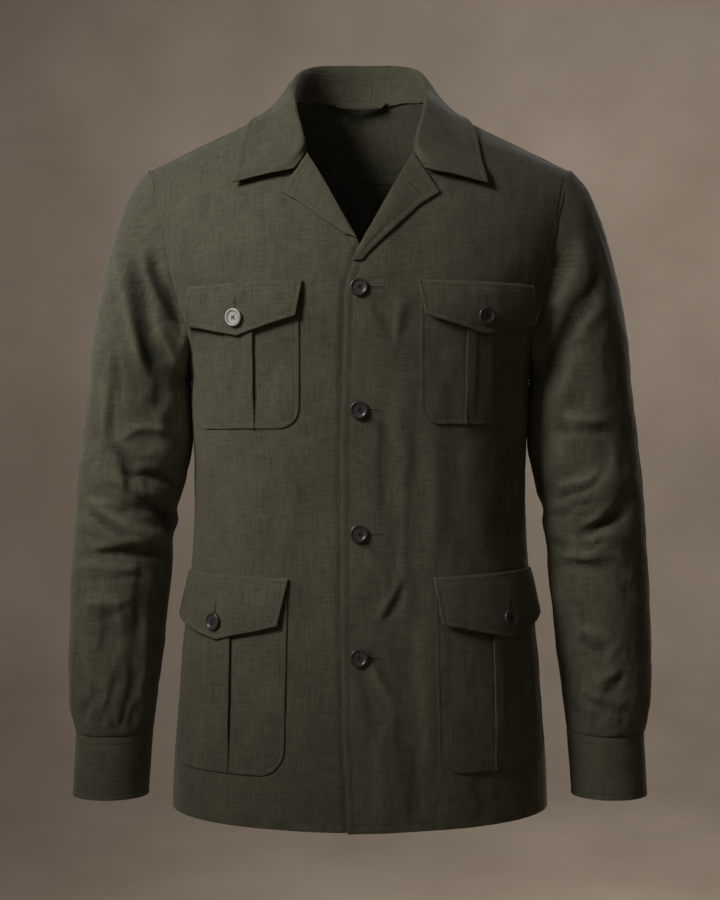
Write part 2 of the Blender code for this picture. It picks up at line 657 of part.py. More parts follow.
# ------------------------------------------------------------------ sleeves and cuffs
def sleeve_folds(table, angle, height):
    total = 0.0
    for fold in table:
        turn = (angle - math.radians(fold.angle) + math.pi) % (2 * math.pi) - math.pi
        across = (height - fold.height - fold.slant * turn) / fold.width
        along = turn / math.radians(fold.spread)
        total += fold.depth * math.exp(-across * across - along * along)
    return total


def ring_point(table, side, angle, height, extra=0.0):
    """Point of a sleeve or cuff ring: 0 is the outer side and a quarter turn on is the front."""
    inner = read(table, "inner", height)
    outer = read(table, "outer", height)
    middle = (inner + outer) / 2
    x = middle + ((outer - inner) / 2 + extra) * math.cos(angle)
    y = -read(table, "forward", height) - (read(table, "half_depth", height) + extra) * math.sin(angle)
    return Vector((side * x, y, height))


def sleeve_place(side, folds):
    loop = armhole_points(side)
    count = len(loop)
    steps = [(loop[(i + 1) % count] - loop[i]).length for i in range(count)]
    whole = sum(steps)
    angles = [2 * math.pi * sum(steps[:i]) / whole for i in range(count)]
    rings = CAP_RINGS + len(SLEEVE_RING_HEIGHTS)
    first = SLEEVE[0].height

    def place(u, w):
        index = int(round(u * count)) % count
        if side > 0:
            index = (count - index) % count
        angle = angles[index]
        ring = int(round((1 - w) * rings))
        if ring <= CAP_RINGS:
            t = ring / CAP_RINGS
            start = loop[index] + Vector((side * SLEEVE_GAP, 0.0, 0.0))
            end = ring_point(SLEEVE, side, angle, first)
            reach = (end - start).length
            top = (1 + math.cos(angle)) / 2
            across = CAP_ACROSS_UNDER + (CAP_ACROSS_TOP - CAP_ACROSS_UNDER) * top
            pull = Vector((side * across, 0.0, -1.0 + CAP_LEVEL * top)).normalized()
            pull *= reach * (1 - CAP_PULL * top)
            point = hermite(start, pull, end, Vector((0.0, 0.0, -CAP_DROP * reach)), t)
            swell = sleeve_folds(folds, angle, point.z) * smooth_step(0.3, 1.0, t)
        else:
            height = SLEEVE_RING_HEIGHTS[ring - CAP_RINGS - 1]
            point = ring_point(SLEEVE, side, angle, height)
            fade = smooth_step(SLEEVE[-1].height, SLEEVE[-1].height + 0.03, height)
            swell = sleeve_folds(folds, angle, height) * fade
            near_cuff = 1 - smooth_step(GATHER_START, GATHER_END, height)
            swell += CUFF_GATHER * math.sin(CUFF_WAVES * angle) * near_cuff * fade
        point.x += side * math.cos(angle) * swell
        point.y -= math.sin(angle) * swell
        return point

    return place, count, rings


def make_sleeve(name, side, folds):
    place, count, rings = sleeve_place(side, folds)
    sheet(name, count, rings, place, wrap=True)


def make_cuff(name, side):
    def place(u, w):
        angle = -2 * math.pi * u * side
        height = CUFF[0].height + (CUFF[1].height - CUFF[0].height) * w
        return ring_point(CUFF, side, angle, height)

    sheet(name, 24, 4, place, wrap=True, thickness=CUFF_CLOTH)


# ------------------------------------------------------------------ collar and lapels
def body_field(x, y, height):
    """Negative inside the shoulders, fronts and back, and positive outside them."""
    face = "front" if y < 0 else "back"
    rounding = ROUNDING[face]
    share = min(abs(x) / read(BODY, "half_width", height), 0.999)
    full = read(BODY, face, height) * (1 - share**PLAN_POWER) ** (1 / DEPTH_POWER)
    rise = max((height - rounding.start) / (ridge(x, face) - rounding.start), 0.0)
    return ((abs(y) / full) ** rounding.power + rise**rounding.power) ** (1 / rounding.power) - 1


def clear_of_body(point, distance):
    """Move a point outwards until it is the given distance off the shoulders, fronts or back."""
    step = 0.0005
    for _ in range(4):
        x, y, z = point
        slope = Vector((
            body_field(x + step, y, z) - body_field(x - step, y, z),
            body_field(x, y + step, z) - body_field(x, y - step, z),
            body_field(x, y, z + step) - body_field(x, y, z - step),
        )) / (2 * step)
        off = body_field(x, y, z) / slope.length
        if off >= distance:
            return point
        point = point + slope.normalized() * (distance - off)
    return point


def make_collar():
    stations = [tuple(Vector(rail) for rail in row) for row in COLLAR]
    mirrored = [tuple(Vector((-p.x, p.y, p.z)) for p in row) for row in stations]
    whole = list(reversed(mirrored)) + stations[1:]
    spans = len(whole) - 1
    columns = spans * COLLAR_STEPS
    rows = STAND_ROWS + FALL_ROWS

    def rail(number, along):
        low = min(int(along), spans - 1)
        before = whole[max(low - 1, 0)][number]
        after = whole[min(low + 2, spans)][number]
        start, end = whole[low][number], whole[low + 1][number]
        return hermite(start, (end - before) / 2, end, (after - start) / 2, along - low)

    def place(u, w):
        along = (1 - u) * spans
        neck, fold, edge = (rail(number, along) for number in range(3))
        over = Vector((edge.x - neck.x, edge.y - neck.y, 0.0)).normalized()
        over *= min(COLLAR_FOLD_REACH, 0.8 * (fold - neck).length)
        row = int(round((1 - w) * rows))
        if row <= STAND_ROWS:
            point = hermite(neck, fold - neck, fold, over * 0.5, row / STAND_ROWS)
        else:
            point = hermite(fold, over, edge, edge - fold, (row - STAND_ROWS) / FALL_ROWS)
        if row > STAND_ROWS or abs(along - spans / 2) > COLLAR_LOW_STATION:
            point = clear_of_body(point, COLLAR_CLEARANCE)
        return point

    sheet("collar", columns, rows, place, offset=1.0)


def make_lapel(name, side, points, base_lift):
    def place(u, w):
        across = u if side > 0 else 1 - u
        at = (1 - w) * (len(points) - 1)
        low = min(int(at), len(points) - 2)
        share = at - low
        start, end = points[low], points[low + 1]
        roll_x, roll_z, edge_x, edge_z = (a + (b - a) * share for a, b in zip(start, end))
        x = roll_x + (edge_x - roll_x) * across
        height = roll_z + (edge_z - roll_z) * across
        point = on_body(side * x, height, "front")
        overlap = OVERLAP_LIFT if side > 0 else 0.0
        point.y -= overlap * (1 - smooth_step(OVERLAP_FADE_START, OVERLAP_FADE_END, x))
        return point

    def lift(u, w):
        across = u if side > 0 else 1 - u
        return base_lift + 0.0016 * math.sin(math.pi * min(across + 0.15, 1.0))

    sheet(name, LAPEL_COLUMNS, LAPEL_ROWS, place, lift=lift, offset=1.0)


# ------------------------------------------------------------------ pockets, flaps, buttons, loop
def make_pocket(pocket):
    half_pleat = pocket.pleat / pocket.width / 2
    middle = 0.5 + (pocket.pleat_centre - pocket.centre) / pocket.width
    fold = PLEAT_STEP / 2 / pocket.width
    columns = [
        0.0, 0.03, 0.09, 0.21,
        middle - half_pleat - fold, middle - half_pleat + fold,
        middle + half_pleat - fold, middle + half_pleat + fold,
        0.74, 0.85, 0.92, 0.97, 1.0,
    ]
    lifted = {5, 6}
    last = len(columns) - 1

    def spot(u, w):
        index = int(round(u * last))
        if pocket.side < 0:
            index = last - index
        return index, columns[index], w

    def place(u, w):
        _, across, up = spot(u, w)
        corner = pocket.corner / pocket.width
        near = max(corner - min(across, 1 - across), 0.0) / corner
        foot = pocket.bottom + pocket.corner * (1 - math.sqrt(1 - min(near, 1.0) ** 2))
        height = foot + (pocket.top - foot) * up
        girth = pocket.centre + (across - 0.5) * pocket.width + pocket.lean * (1 - up)
        x = girth_place(girth, height, "front")
        return on_body(pocket.side * x, height, "front")

    def lift(u, w):
        index, _, up = spot(u, w)
        pleat = PLEAT_LIFT * smooth_step(-0.02, 0.18, up) * smooth_step(1.0, PLEAT_FADE, up)
        return POCKET_GAP + (pleat if index in lifted else 0.0)

    sheet(pocket.name, last, POCKET_ROWS, place, lift=lift, offset=1.0)


def flap_spot(flap, across, up):
    """Point on the body under a flap: across from its inner to its outer end, up from its edge."""
    top_girth, top_height = blend(flap.top_in, flap.top_out, across)
    if across <= 0.5:
        foot_girth, foot_height = blend(flap.bottom_in, flap.point, across * 2)
    else:
        foot_girth, foot_height = blend(flap.point, flap.bottom_out, across * 2 - 1)
    girth = foot_girth + (top_girth - foot_girth) * up
    height = foot_height + (top_height - foot_height) * up
    return on_body(flap.side * girth_place(girth, height, "front"), height, "front")


def blend(start, end, share):
    return [a + (b - a) * share for a, b in zip(start, end)]


def flap_lift(up):
    """Lift of a flap off the front at a share of its height."""
    return float(np.interp(up, [row.up for row in FLAP_ROWS], [row.lift for row in FLAP_ROWS]))


def make_flap(flap):
    last = len(FLAP_ROWS) - 1

    def place(u, w):
        row = FLAP_ROWS[int(round(w * last))]
        return flap_spot(flap, u if flap.side > 0 else 1 - u, row.up)

    def lift(u, w):
        return FLAP_ROWS[int(round(w * last))].lift

    sheet(flap.name, FLAP_COLUMNS, last, place, lift=lift, offset=1.0)


def button_mesh(name):
    """A dished, rimmed button turned about its own axis, with its back at z = 0."""
    radius = BUTTON_DIAMETER / 2
    rim = BUTTON_THICKNESS
    profile = [(0.0, rim * 0.62), (radius * 0.62, rim * 0.62), (radius * 0.78, rim), (radius * 0.93, rim)]
    profile += [(radius, rim * 0.55), (radius * 0.86, 0.0), (0.0, 0.0)]
    turned = bmesh.new()
    verts = [turned.verts.new((x, 0.0, z)) for x, z in profile]
    for start, end in zip(verts, verts[1:]):
        turned.edges.new((start, end))
    bmesh.ops.spin(
        turned, geom=turned.verts[:] + turned.edges[:], cent=(0, 0, 0), axis=(0, 0, 1),
        angle=2 * math.pi, steps=BUTTON_STEPS, use_merge=True,
    )
    bmesh.ops.remove_doubles(turned, verts=turned.verts, dist=0.00002)
    bmesh.ops.recalc_face_normals(turned, faces=turned.faces)
    mesh = bpy.data.meshes.new(name)
    turned.to_mesh(mesh)
    turned.free()
    return mesh


def add_button(name, point, normal, colour):
    """Seat a button's back on a point, facing along the normal."""
    button = finish_piece(name, button_mesh(name), colour, 0.35, 0.0, 0.0)
    button.data.set_sharp_from_angle(angle=math.radians(40))
    turn = normal.to_track_quat("Z", "Y").to_matrix().to_4x4()
    button.matrix_world = Matrix.Translation(point) @ turn


def surface_normal(x, height):
    step = 0.004
    right = on_body(x + step, height, "front") - on_body(x - step, height, "front")
    up = on_body(x, height + step, "front") - on_body(x, height - step, "front")
    return right.cross(up).normalized()


def make_buttons():
    for number, height in enumerate(FRONT_BUTTON_HEIGHTS, 1):
        normal = surface_normal(FRONT_BUTTON_X, height)
        seat = on_body(FRONT_BUTTON_X, height, "front") + normal * (OVERLAP_LIFT + BUTTON_GAP)
        add_button(f"button_front_{number}", seat, normal, HORN)
    flaps = {flap.name: flap for flap in FLAPS}
    for button in FLAP_BUTTONS:
        flap = flaps[button.flap]
        x = flap.side * girth_place(button.girth, button.height, "front")
        normal = surface_normal(x, button.height)
        top = (flap.top_in[1] + flap.top_out[1]) / 2
        up = (button.height - flap.point[1]) / (top - flap.point[1])
        lift = flap_lift(up)
        slope = (flap_lift(up + 0.1) - flap_lift(up - 0.1)) / (0.2 * (top - flap.point[1]))
        normal = (normal - slope * Vector((0.0, 0.0, 1.0))).normalized()
        seat = on_body(x, button.height, "front") + normal * (lift + CLOTH + BUTTON_GAP)
        colour = PALE_HORN if button.name == "button_chest_right" else HORN
        add_button(button.name, seat, normal, colour)


def make_loop():
    def place(u, w):
        x = LOOP_HALF_WIDTH * (1 - 2 * u)
        sag = LOOP_SAG * math.sin(math.pi * u) ** 0.6
        height = LOOP_HEIGHT - sag - LOOP_TAPE * (1 - w)
        y = LOOP_DEPTH - LOOP_BEND * x * x
        return Vector((x, y, height))

    sheet("hanger_loop", 12, 1, place, thickness=LOOP_THICKNESS, offset=1.0)


for old in list(bpy.data.objects):
    bpy.data.objects.remove(old)
jacket = bpy.data.collections.new("safari_jacket")
bpy.context.scene.collection.children.link(jacket)

make_fronts()
make_backs()
make_yoke()
make_sleeve("sleeve_left", 1, LEFT_SLEEVE_FOLDS)
make_sleeve("sleeve_right", -1, RIGHT_SLEEVE_FOLDS)
make_cuff("cuff_left", 1)
make_cuff("cuff_right", -1)
make_collar()
make_lapel("lapel_left", 1, LEFT_LAPEL, LAY_GAP)
make_lapel("lapel_right", -1, RIGHT_LAPEL, LAY_GAP)
for entry in POCKETS:
    make_pocket(entry)
for entry in FLAPS:
    make_flap(entry)
make_buttons()
make_loop()
bpy.context.view_layer.update()
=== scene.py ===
import math
from collections import namedtuple

import bmesh
import bpy
import numpy as np
from mathutils import Matrix, Vector, noise
from mathutils.bvhtree import BVHTree
from mathutils.interpolate import poly_3d_calc


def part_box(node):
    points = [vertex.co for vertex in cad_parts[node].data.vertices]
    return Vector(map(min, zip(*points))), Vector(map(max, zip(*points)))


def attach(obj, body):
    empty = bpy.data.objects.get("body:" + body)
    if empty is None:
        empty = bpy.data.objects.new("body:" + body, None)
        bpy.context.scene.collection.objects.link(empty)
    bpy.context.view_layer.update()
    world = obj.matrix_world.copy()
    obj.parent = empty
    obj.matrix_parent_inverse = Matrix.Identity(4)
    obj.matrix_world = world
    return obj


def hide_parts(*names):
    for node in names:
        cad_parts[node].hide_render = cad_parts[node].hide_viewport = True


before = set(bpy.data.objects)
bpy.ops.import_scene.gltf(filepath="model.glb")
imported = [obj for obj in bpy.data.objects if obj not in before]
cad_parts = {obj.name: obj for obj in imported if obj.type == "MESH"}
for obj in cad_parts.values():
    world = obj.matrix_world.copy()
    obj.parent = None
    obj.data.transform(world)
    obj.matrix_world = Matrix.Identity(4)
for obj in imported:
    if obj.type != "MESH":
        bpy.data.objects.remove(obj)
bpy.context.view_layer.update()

# ------------------------------------------------------------------ studio and camera
# A pale studio sweep, floor and wall in one, that goes all round the jacket. It is painted plaster
# with a soft mottle. A soft key lamp stands high on the left, a wide weak one fills in from the
# front, one lights the wall, and two stand behind the jacket.
scene = bpy.context.scene
scene.view_settings.view_transform = "Standard"
scene.view_settings.look = "None"


def add(name, data):
    """An object at the origin, in the scene."""
    thing = bpy.data.objects.new(name, data)
    scene.collection.objects.link(thing)
    return thing


def mesh_from(name, shape):
    mesh = bpy.data.meshes.new(name)
    shape.to_mesh(mesh)
    shape.free()
    return mesh


def turned(profile, steps, merge):
    """A profile of (radius, height), turned once round the upright axis."""
    shape = bmesh.new()
    verts = [shape.verts.new((radius, 0.0, height)) for radius, height in profile]
    for start, end in zip(verts, verts[1:]):
        shape.edges.new((start, end))
    bmesh.ops.spin(
        shape, geom=shape.verts[:] + shape.edges[:], cent=(0, 0, 0), axis=(0, 0, 1),
        angle=2 * math.pi, steps=steps, use_merge=True)
    bmesh.ops.remove_doubles(shape, verts=shape.verts, dist=merge)
    bmesh.ops.recalc_face_normals(shape, faces=shape.faces)
    return shape


def new_material(name):
    material = bpy.data.materials.new(name)
    material.use_nodes = True
    tree = material.node_tree
    return material, tree.nodes, tree.links, tree.nodes["Principled BSDF"]


def give(node, values):
    for socket, value in values.items():
        node.inputs[socket].default_value = value


def mottled(name, constants, grain, tones, stretch=None):
    """A material that runs between two tones with a noise in the object's own space. Its noise, its
    tones and its shader come back with it."""
    material, nodes, links, shader = new_material(name)
    place = nodes.new("ShaderNodeTexCoord").outputs["Object"]
    if stretch:
        drawn = nodes.new("ShaderNodeMapping")
        give(drawn, {"Scale": stretch})
        links.new(place, drawn.inputs["Vector"])
        place = drawn.outputs["Vector"]
    mottle = nodes.new("ShaderNodeTexNoise")
    give(mottle, grain)
    give(shader, constants)
    tint = nodes.new("ShaderNodeValToRGB")
    for element, (position, tone) in zip(tint.color_ramp.elements, tones):
        element.position, element.color = position, (*tone, 1.0)
    links.new(place, mottle.inputs["Vector"])
    links.new(mottle.outputs["Fac"], tint.inputs["Fac"])
    links.new(tint.outputs["Color"], shader.inputs["Base Color"])
    return material, mottle, tint, shader


lens = bpy.data.cameras.new("camera")
lens.sensor_fit = "VERTICAL"
lens.sensor_height = 36.0
lens.lens = 66.67
lens.clip_end = 20.0
camera = add("camera", lens)
camera.location = (0.0, -1.75, -0.34125)
camera.rotation_euler = (math.radians(90), 0.0, 0.0)
scene.camera = camera

SWEEP = [(0.0, -1.25), (1.9, -1.25), (2.55, -1.19), (2.95, -0.98), (3.1, -0.6), (3.1, 3.2)]
sweep = turned(SWEEP, 64, 0.0001)
bmesh.ops.reverse_faces(sweep, faces=sweep.faces)
studio_floor = add("studio_floor", mesh_from("studio_floor", sweep))
studio_floor.data.shade_smooth()
studio_floor.data.materials.append(mottled(
    "studio_plaster", {"Roughness": 0.95, "Specular IOR Level": 0.1},
    {"Scale": 2.6, "Detail": 6.0, "Roughness": 0.55},
    ((0.3, (0.40, 0.33, 0.26)), (0.7, (0.50, 0.42, 0.34))))[0])

WARM, COOL = (1.0, 0.99, 0.97), (0.97, 0.98, 1.0)
for name, spot, aim, size, power, cone, tint in (
    ("key_lamp", (-1.26, -1.06, 0.74), (-0.15, 0.0, -0.17), 0.8, 1.72, 42.0, WARM),
    ("fill_lamp", (-0.2, -2.3, 0.8), (0.0, 0.0, -0.20), 2.0, 0.85, 180.0, COOL),
    ("wall_lamp", (0.35, 1.2, 0.55), (0.7, 3.1, 0.1), 1.0, 17.5, 180.0, WARM),
    ("back_lamp", (1.3, 1.9, 0.8), (0.0, 0.0, -0.35), 1.2, 9.0, 120.0, WARM),
    ("left_back_lamp", (-1.5, 1.8, 0.5), (0.0, 0.0, -0.40), 1.2, 6.0, 110.0, WARM),
):
    lamp = bpy.data.lights.new(name, "AREA")
    lamp.shape = "DISK"
    lamp.size, lamp.energy, lamp.spread, lamp.color = size, power, math.radians(cone), tint
    stand = add(name, lamp)
    stand.location = spot
    stand.rotation_euler = (Vector(aim) - Vector(spot)).to_track_quat("-Z", "Y").to_euler()
    stand.visible_camera = False
world = bpy.data.worlds.new("studio")
world.use_nodes = True
give(world.node_tree.nodes["Background"], {"Color": (0.60, 0.58, 0.55, 1.0), "Strength": 0.016})
scene.world = world

# ------------------------------------------------------------------ fronts
# The two fronts, each cut in one from hem to shoulder with its own facing turned back. The left
# front laps over the right. Soft upright folds hang from the chest, and a few drag towards the hem.

# The linen of the whole jacket is an unlined plain weave, piece-dyed olive. Its yarns are uneven, so
# slubs run both ways, and it is crushed softly wherever an arm or a body has bent it.
OLIVE = (0.112, 0.109, 0.071, 1.0)
YARN = 0.00055
SLUB = 0.66
WEAVE_DEPTH = 0.00016
LINEN_WALL = 0.0016
FOLD_SHADE = 140            # how much lighter a raised place and darker a sunken one is painted: painted light and shade


def make_linen_group():
    group = bpy.data.node_groups.new("linen_weave", "ShaderNodeTree")
    nodes, links = group.nodes, group.links
    for way, name, kind in (
        ("INPUT", "Place", "Vector"), ("INPUT", "Yarn colour", "Color"), ("INPUT", "Slub", "Float"),
        ("INPUT", "Fold", "Float"), ("OUTPUT", "Colour", "Color"), ("OUTPUT", "Roughness", "Float"),
        ("OUTPUT", "Height", "Float"),
    ):
        group.interface.new_socket(name, in_out=way, socket_type="NodeSocket" + kind)
    given, out = nodes.new("NodeGroupInput").outputs, nodes.new("NodeGroupOutput").inputs

    def step(kind, first, second=0.0, clamp=False):
        sum_node = nodes.new("ShaderNodeMath")
        sum_node.operation = kind
        sum_node.use_clamp = clamp
        for socket, value in zip(sum_node.inputs, (first, second)):
            if isinstance(value, (int, float)):
                socket.default_value = value
            else:
                links.new(value, socket)
        return sum_node.outputs["Value"]

    def total(first, *others):
        for other in others:
            first = step("ADD", first, other)
        return first

    def streaks(across, along, detail, strength):
        """Streaks 1 / across wide and 1 / along long, in metres, to both sides of nought."""
        scale = nodes.new("ShaderNodeVectorMath")
        scale.operation = "MULTIPLY"
        scale.inputs[1].default_value = (across, along, 1.0)
        links.new(given["Place"], scale.inputs[0])
        streak = nodes.new("ShaderNodeTexNoise")
        give(streak, {"Scale": 1.0, "Detail": detail, "Roughness": 0.55})
        links.new(scale.outputs["Vector"], streak.inputs["Vector"])
        return step("MULTIPLY", step("SUBTRACT", streak.outputs["Fac"], 0.5), strength)

    slubs = total(
        streaks(46.0, 880.0, 3.0, 1.5), streaks(820.0, 30.0, 3.0, 1.35),
        streaks(230.0, 1900.0, 2.0, 0.7), streaks(1900.0, 170.0, 2.0, 0.6))
    slubs = step("MULTIPLY", slubs, given["Slub"])
    patches, crushed = streaks(26.0, 20.0, 4.0, 0.55), streaks(150.0, 110.0, 5.0, 0.5)
    tone = nodes.new("ShaderNodeVectorMath")
    tone.operation = "SCALE"
    links.new(given["Yarn colour"], tone.inputs[0])
    # The fold input paints raised places lighter and sunken ones darker: painted light and painted shade.
    shade = step("MAXIMUM", total(slubs, patches, crushed, given["Fold"], 1.0), 0.25)
    links.new(shade, tone.inputs["Scale"])

    place = nodes.new("ShaderNodeSeparateXYZ")
    links.new(given["Place"], place.inputs["Vector"])
    over, under = (step("SINE", step("MULTIPLY", place.outputs[axis], math.pi / YARN)) for axis in "XY")
    knots = step("MULTIPLY", step("MULTIPLY", over, under), 0.10)
    rough = step("ADD", step("MULTIPLY", slubs, -0.08), 0.86, clamp=True)
    links.new(tone.outputs["Vector"], out["Colour"])
    links.new(rough, out["Roughness"])
    links.new(total(knots, slubs, step("MULTIPLY", crushed, 1.6)), out["Height"])
    return group


linen_weave = make_linen_group()


def linen(name, colour=OLIVE, slub=SLUB, offset=(0.0, 0.0)):
    """Linen in its own dye lot, with the weave laid along the piece's own cut."""
    cloth, nodes, links, shader = new_material(name)
    cut, lay, fold, weave, relief = (
        nodes.new("ShaderNode" + kind) for kind in ("UVMap", "Mapping", "Attribute", "Group", "Bump"))
    cut.uv_map = "cut"
    fold.attribute_name = "fold"
    weave.node_tree = linen_weave
    give(shader, {"Specular IOR Level": 0.22, "Sheen Weight": 0.10, "Sheen Roughness": 0.55})
    give(lay, {"Location": (*offset, 0.0)})
    give(weave, {"Yarn colour": colour, "Slub": slub})
    give(relief, {"Strength": 1.0, "Distance": WEAVE_DEPTH})
    for start, end in (
        (cut.outputs["UV"], lay.inputs["Vector"]),
        (lay.outputs["Vector"], weave.inputs["Place"]),
        (fold.outputs["Fac"], weave.inputs["Fold"]),
        (weave.outputs["Colour"], shader.inputs["Base Color"]),
        (weave.outputs["Roughness"], shader.inputs["Roughness"]),
        (weave.outputs["Height"], relief.inputs["Height"]),
        (relief.outputs["Normal"], shader.inputs["Normal"]),
    ):
        links.new(start, end)
    return cloth


# Every piece of cloth is laid on the outer face of its solid: the face is read as rows of points,
# faired to a fine grid, creased, and given its wall again.


def cloth_rows(node, first=None, last=None, across=None, clean=False):
    """The outer face of a piece of cloth as rows of points, from its first edge to the opposite one."""
    shell = bmesh.new()
    shell.from_mesh(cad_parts[node].data)
    bmesh.ops.remove_doubles(shell, verts=shell.verts, dist=0.00001)
    rim = {edge for edge in shell.edges if edge.calc_face_angle(0.0) > 1.25}
    sheets, seen = [], set()
    for start in shell.faces:
        if start in seen:
            continue
        patch, todo = {start}, [start]
        while todo:
            for edge in todo.pop().edges:
                if edge not in rim:
                    more = [face for face in edge.link_faces if face not in patch]
                    patch.update(more)
                    todo.extend(more)
        seen |= patch
        sheets.append(patch)
    low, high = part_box(node)
    middle = (low + high) / 2

    def facing(patch):
        return sum(face.normal.dot(face.calc_center_median() - middle) * face.calc_area() for face in patch)

    pair = sorted(sheets, key=len)[-2:]
    sheet = pair[0] if clean else max(pair, key=facing)
    border = {e for face in sheet for e in face.edges if sum(other in sheet for other in e.link_faces) == 1}
    near = {
        v: {e.other_vert(v) for e in v.link_edges if any(face in sheet for face in e.link_faces)}
        for face in sheet for v in face.verts
    }
    beside = {v: [e.other_vert(v) for e in v.link_edges if e in border] for v in near}
    edge_verts = [v for v in near if beside[v]]
    if first is None:
        # A cuff's rim has two highest corners alike, so of those the one further to +X starts it.
        row = [max(edge_verts, key=lambda v: (v.co.z - 0.001 * abs(v.co.y), v.co.x))]
        row.append(beside[row[0]][0])
        while True:
            step = [v for v in beside[row[-1]] if v is not row[-2]][0]
            if step is row[0]:
                break
            row.append(step)
    else:
        ends = [min(edge_verts, key=lambda v, p=p: (v.co - Vector(p)).length) for p in (first, last)]
        ways = []
        for step in beside[ends[0]]:
            way = [ends[0], step]
            while way[-1] is not ends[1]:
                way.append([v for v in beside[way[-1]] if v is not way[-2]][0])
            ways.append(way)
        row = min(ways, key=lambda way: abs(len(way) - 1 - across))
    rows, used = [row], set(row)
    while len(used) < len(near):
        ahead = {v for old in row for v in near[old]} - used
        if first is None:
            head = min(near[row[0]] & ahead, key=lambda v: (v.co - row[0].co).length)
        else:
            head = [v for v in beside[row[0]] if v in ahead][0]
        fresh = [head]
        while len(fresh) < len(row):
            steps = [v for v in near[fresh[-1]] & ahead if v not in fresh]
            fresh.append(min(steps, key=lambda v: (v.co - row[len(fresh)].co).length))
        rows.append(fresh)
        used.update(fresh)
        row = fresh
    points = np.array([[tuple(v.co) for v in line] for line in rows])
    middle_row, middle_column = len(rows) // 2, len(rows[0]) // 2
    here = points[middle_row, middle_column]
    out = np.cross(
        points[middle_row, middle_column + 1] - here, points[middle_row + 1, middle_column] - here)
    faces_out = out.dot(np.array(rows[middle_row][middle_column].normal)) > 0
    shell.free()
    return points, faces_out


def fair(points, spots, loop=False):
    """Rows read at distances along the first axis of a grid, on smooth curves through its points."""
    if loop:
        points = np.concatenate([points[-4:-1], points, points[1:4]])
    steps = np.linalg.norm(np.diff(points, axis=0), axis=-1).mean(axis=-1)
    at = np.concatenate([[0.0], np.cumsum(steps)])
    if loop:
        at -= at[3]
    slope = np.diff(points, axis=0) / steps[:, None, None]
    pull = np.empty_like(points)
    weight = (steps[1:] / (steps[1:] + steps[:-1]))[:, None, None]
    pull[1:-1] = slope[:-1] * weight + slope[1:] * (1 - weight)
    pull[0] = 1.5 * slope[0] - 0.5 * pull[1]
    pull[-1] = 1.5 * slope[-1] - 0.5 * pull[-2]
    low = np.clip(np.searchsorted(at, spots, side="right") - 1, 0, len(at) - 2)
    span = steps[low][:, None, None]
    t = ((spots - at[low]) / steps[low])[:, None, None]
    return (
        points[low] * (2 * t**3 - 3 * t**2 + 1) + pull[low] * span * (t**3 - 2 * t**2 + t)
        + points[low + 1] * (3 * t**2 - 2 * t**3) + pull[low + 1] * span * (t**3 - t**2)
    )


def length_of(points):
    return float(np.linalg.norm(np.diff(points, axis=0), axis=-1).mean(axis=-1).sum())


def spread(total, step, fine_start=0.0, fine_end=0.0, fine=0.0012):
    """Distances from 0 to total, a step apart, and finer along the edges."""
    parts = [np.arange(0, fine_start, fine), np.linspace(fine_start, total - fine_end, 2 + int(
        (total - fine_start - fine_end) / step))]
    parts.append(total - np.arange(0, fine_end, fine)[::-1])
    joined = np.concatenate(parts)
    keep = np.concatenate([[True], np.diff(joined) > fine * 0.4])
    return joined[keep]


def faired(points, step, fine=(0.0, 0.0, 0.0, 0.0), tuck=(0.0, 0.0, 0.0, 0.0), loop=False):
    """Fair a grid both ways. fine gives the finely gridded widths along the first row, last row, first
    column and last column, and tuck how far each edge reaches under its neighbour at a seam."""
    spots = spread(length_of(points), step, fine[0], fine[1])
    spots[0] -= tuck[0]
    spots[-1] += tuck[1]
    wide = np.swapaxes(fair(points, spots), 0, 1)
    if loop:
        wide = np.concatenate([wide, wide[:1]])
    spots = spread(length_of(wide), step, fine[2], fine[3])
    spots[0] -= tuck[2]
    spots[-1] += tuck[3]
    return np.swapaxes(fair(wide, spots, loop), 0, 1)


def cut_lines(points, sideways=1.0, start_across=None, upward=1.0):
    """The flat place of each point on its cut: round the body from the first column, and up or down it."""
    flat_step = np.diff(points, axis=1)
    round_it = np.cumsum(np.hypot(flat_step[..., 0], flat_step[..., 1]), axis=1)
    round_it = np.concatenate([np.zeros((len(points), 1)), round_it], axis=1)
    start = points[:, :1, 0] if start_across is None else start_across
    up_step = np.diff(points, axis=0)
    up_it = np.cumsum(np.hypot(up_step[..., 2], up_step[..., 1]), axis=0)
    up_it = np.concatenate([np.zeros((1, points.shape[1])), up_it])
    return start + sideways * round_it, points[:1, :, 2] + upward * up_it


def normals_of(points, faces_out=True):
    along, up = np.gradient(points, axis=1), np.gradient(points, axis=0)
    out = np.cross(along, up)
    out /= np.maximum(np.linalg.norm(out, axis=-1, keepdims=True), 1e-12)
    return out if faces_out else -out


def ease(low, high, value):
    t = np.clip((value - low) / (high - low), 0.0, 1.0)
    return t * t * (3 - 2 * t)


def pressed(across, up, creases):
    """Height in metres that a list of creases gives at each place, soft and uneven along its length.
    A crease is in millimetres, as seen from the front or the back: across and up of both ends, how
    far it bows, its half width, and its height, which is negative for a trough."""
    total = np.zeros_like(across)
    for number, (x1, z1, x2, z2, bow, width, depth) in enumerate(creases):
        start = np.array((x1, z1)) / 1000
        way = np.array((x2, z2)) / 1000 - start
        reach = math.hypot(*way)
        way /= reach
        t = ((across - start[0]) * way[0] + (up - start[1]) * way[1]) / reach
        off = (across - start[0]) * -way[1] + (up - start[1]) * way[0]
        phase = 1.7 * number + 3.1 * x1
        off = off - bow / 1000 * 4 * t * (1 - t)
        off = off + width / 1000 * 0.5 * np.sin(t * (5.0 + number % 3) + phase) * 0.6
        uneven = width / 1000 * (1 + 0.18 * np.sin(t * 7.3 + phase * 1.3))
        share = off / (uneven * np.where(off > 0, 1.25, 0.8))
        ends = ease(-0.12, 0.22, t) * (1 - ease(0.70, 1.12, t))
        total += depth / 1000 * ends * (1 - 0.42 * share**2) * np.exp(-0.62 * share**2)
    return total


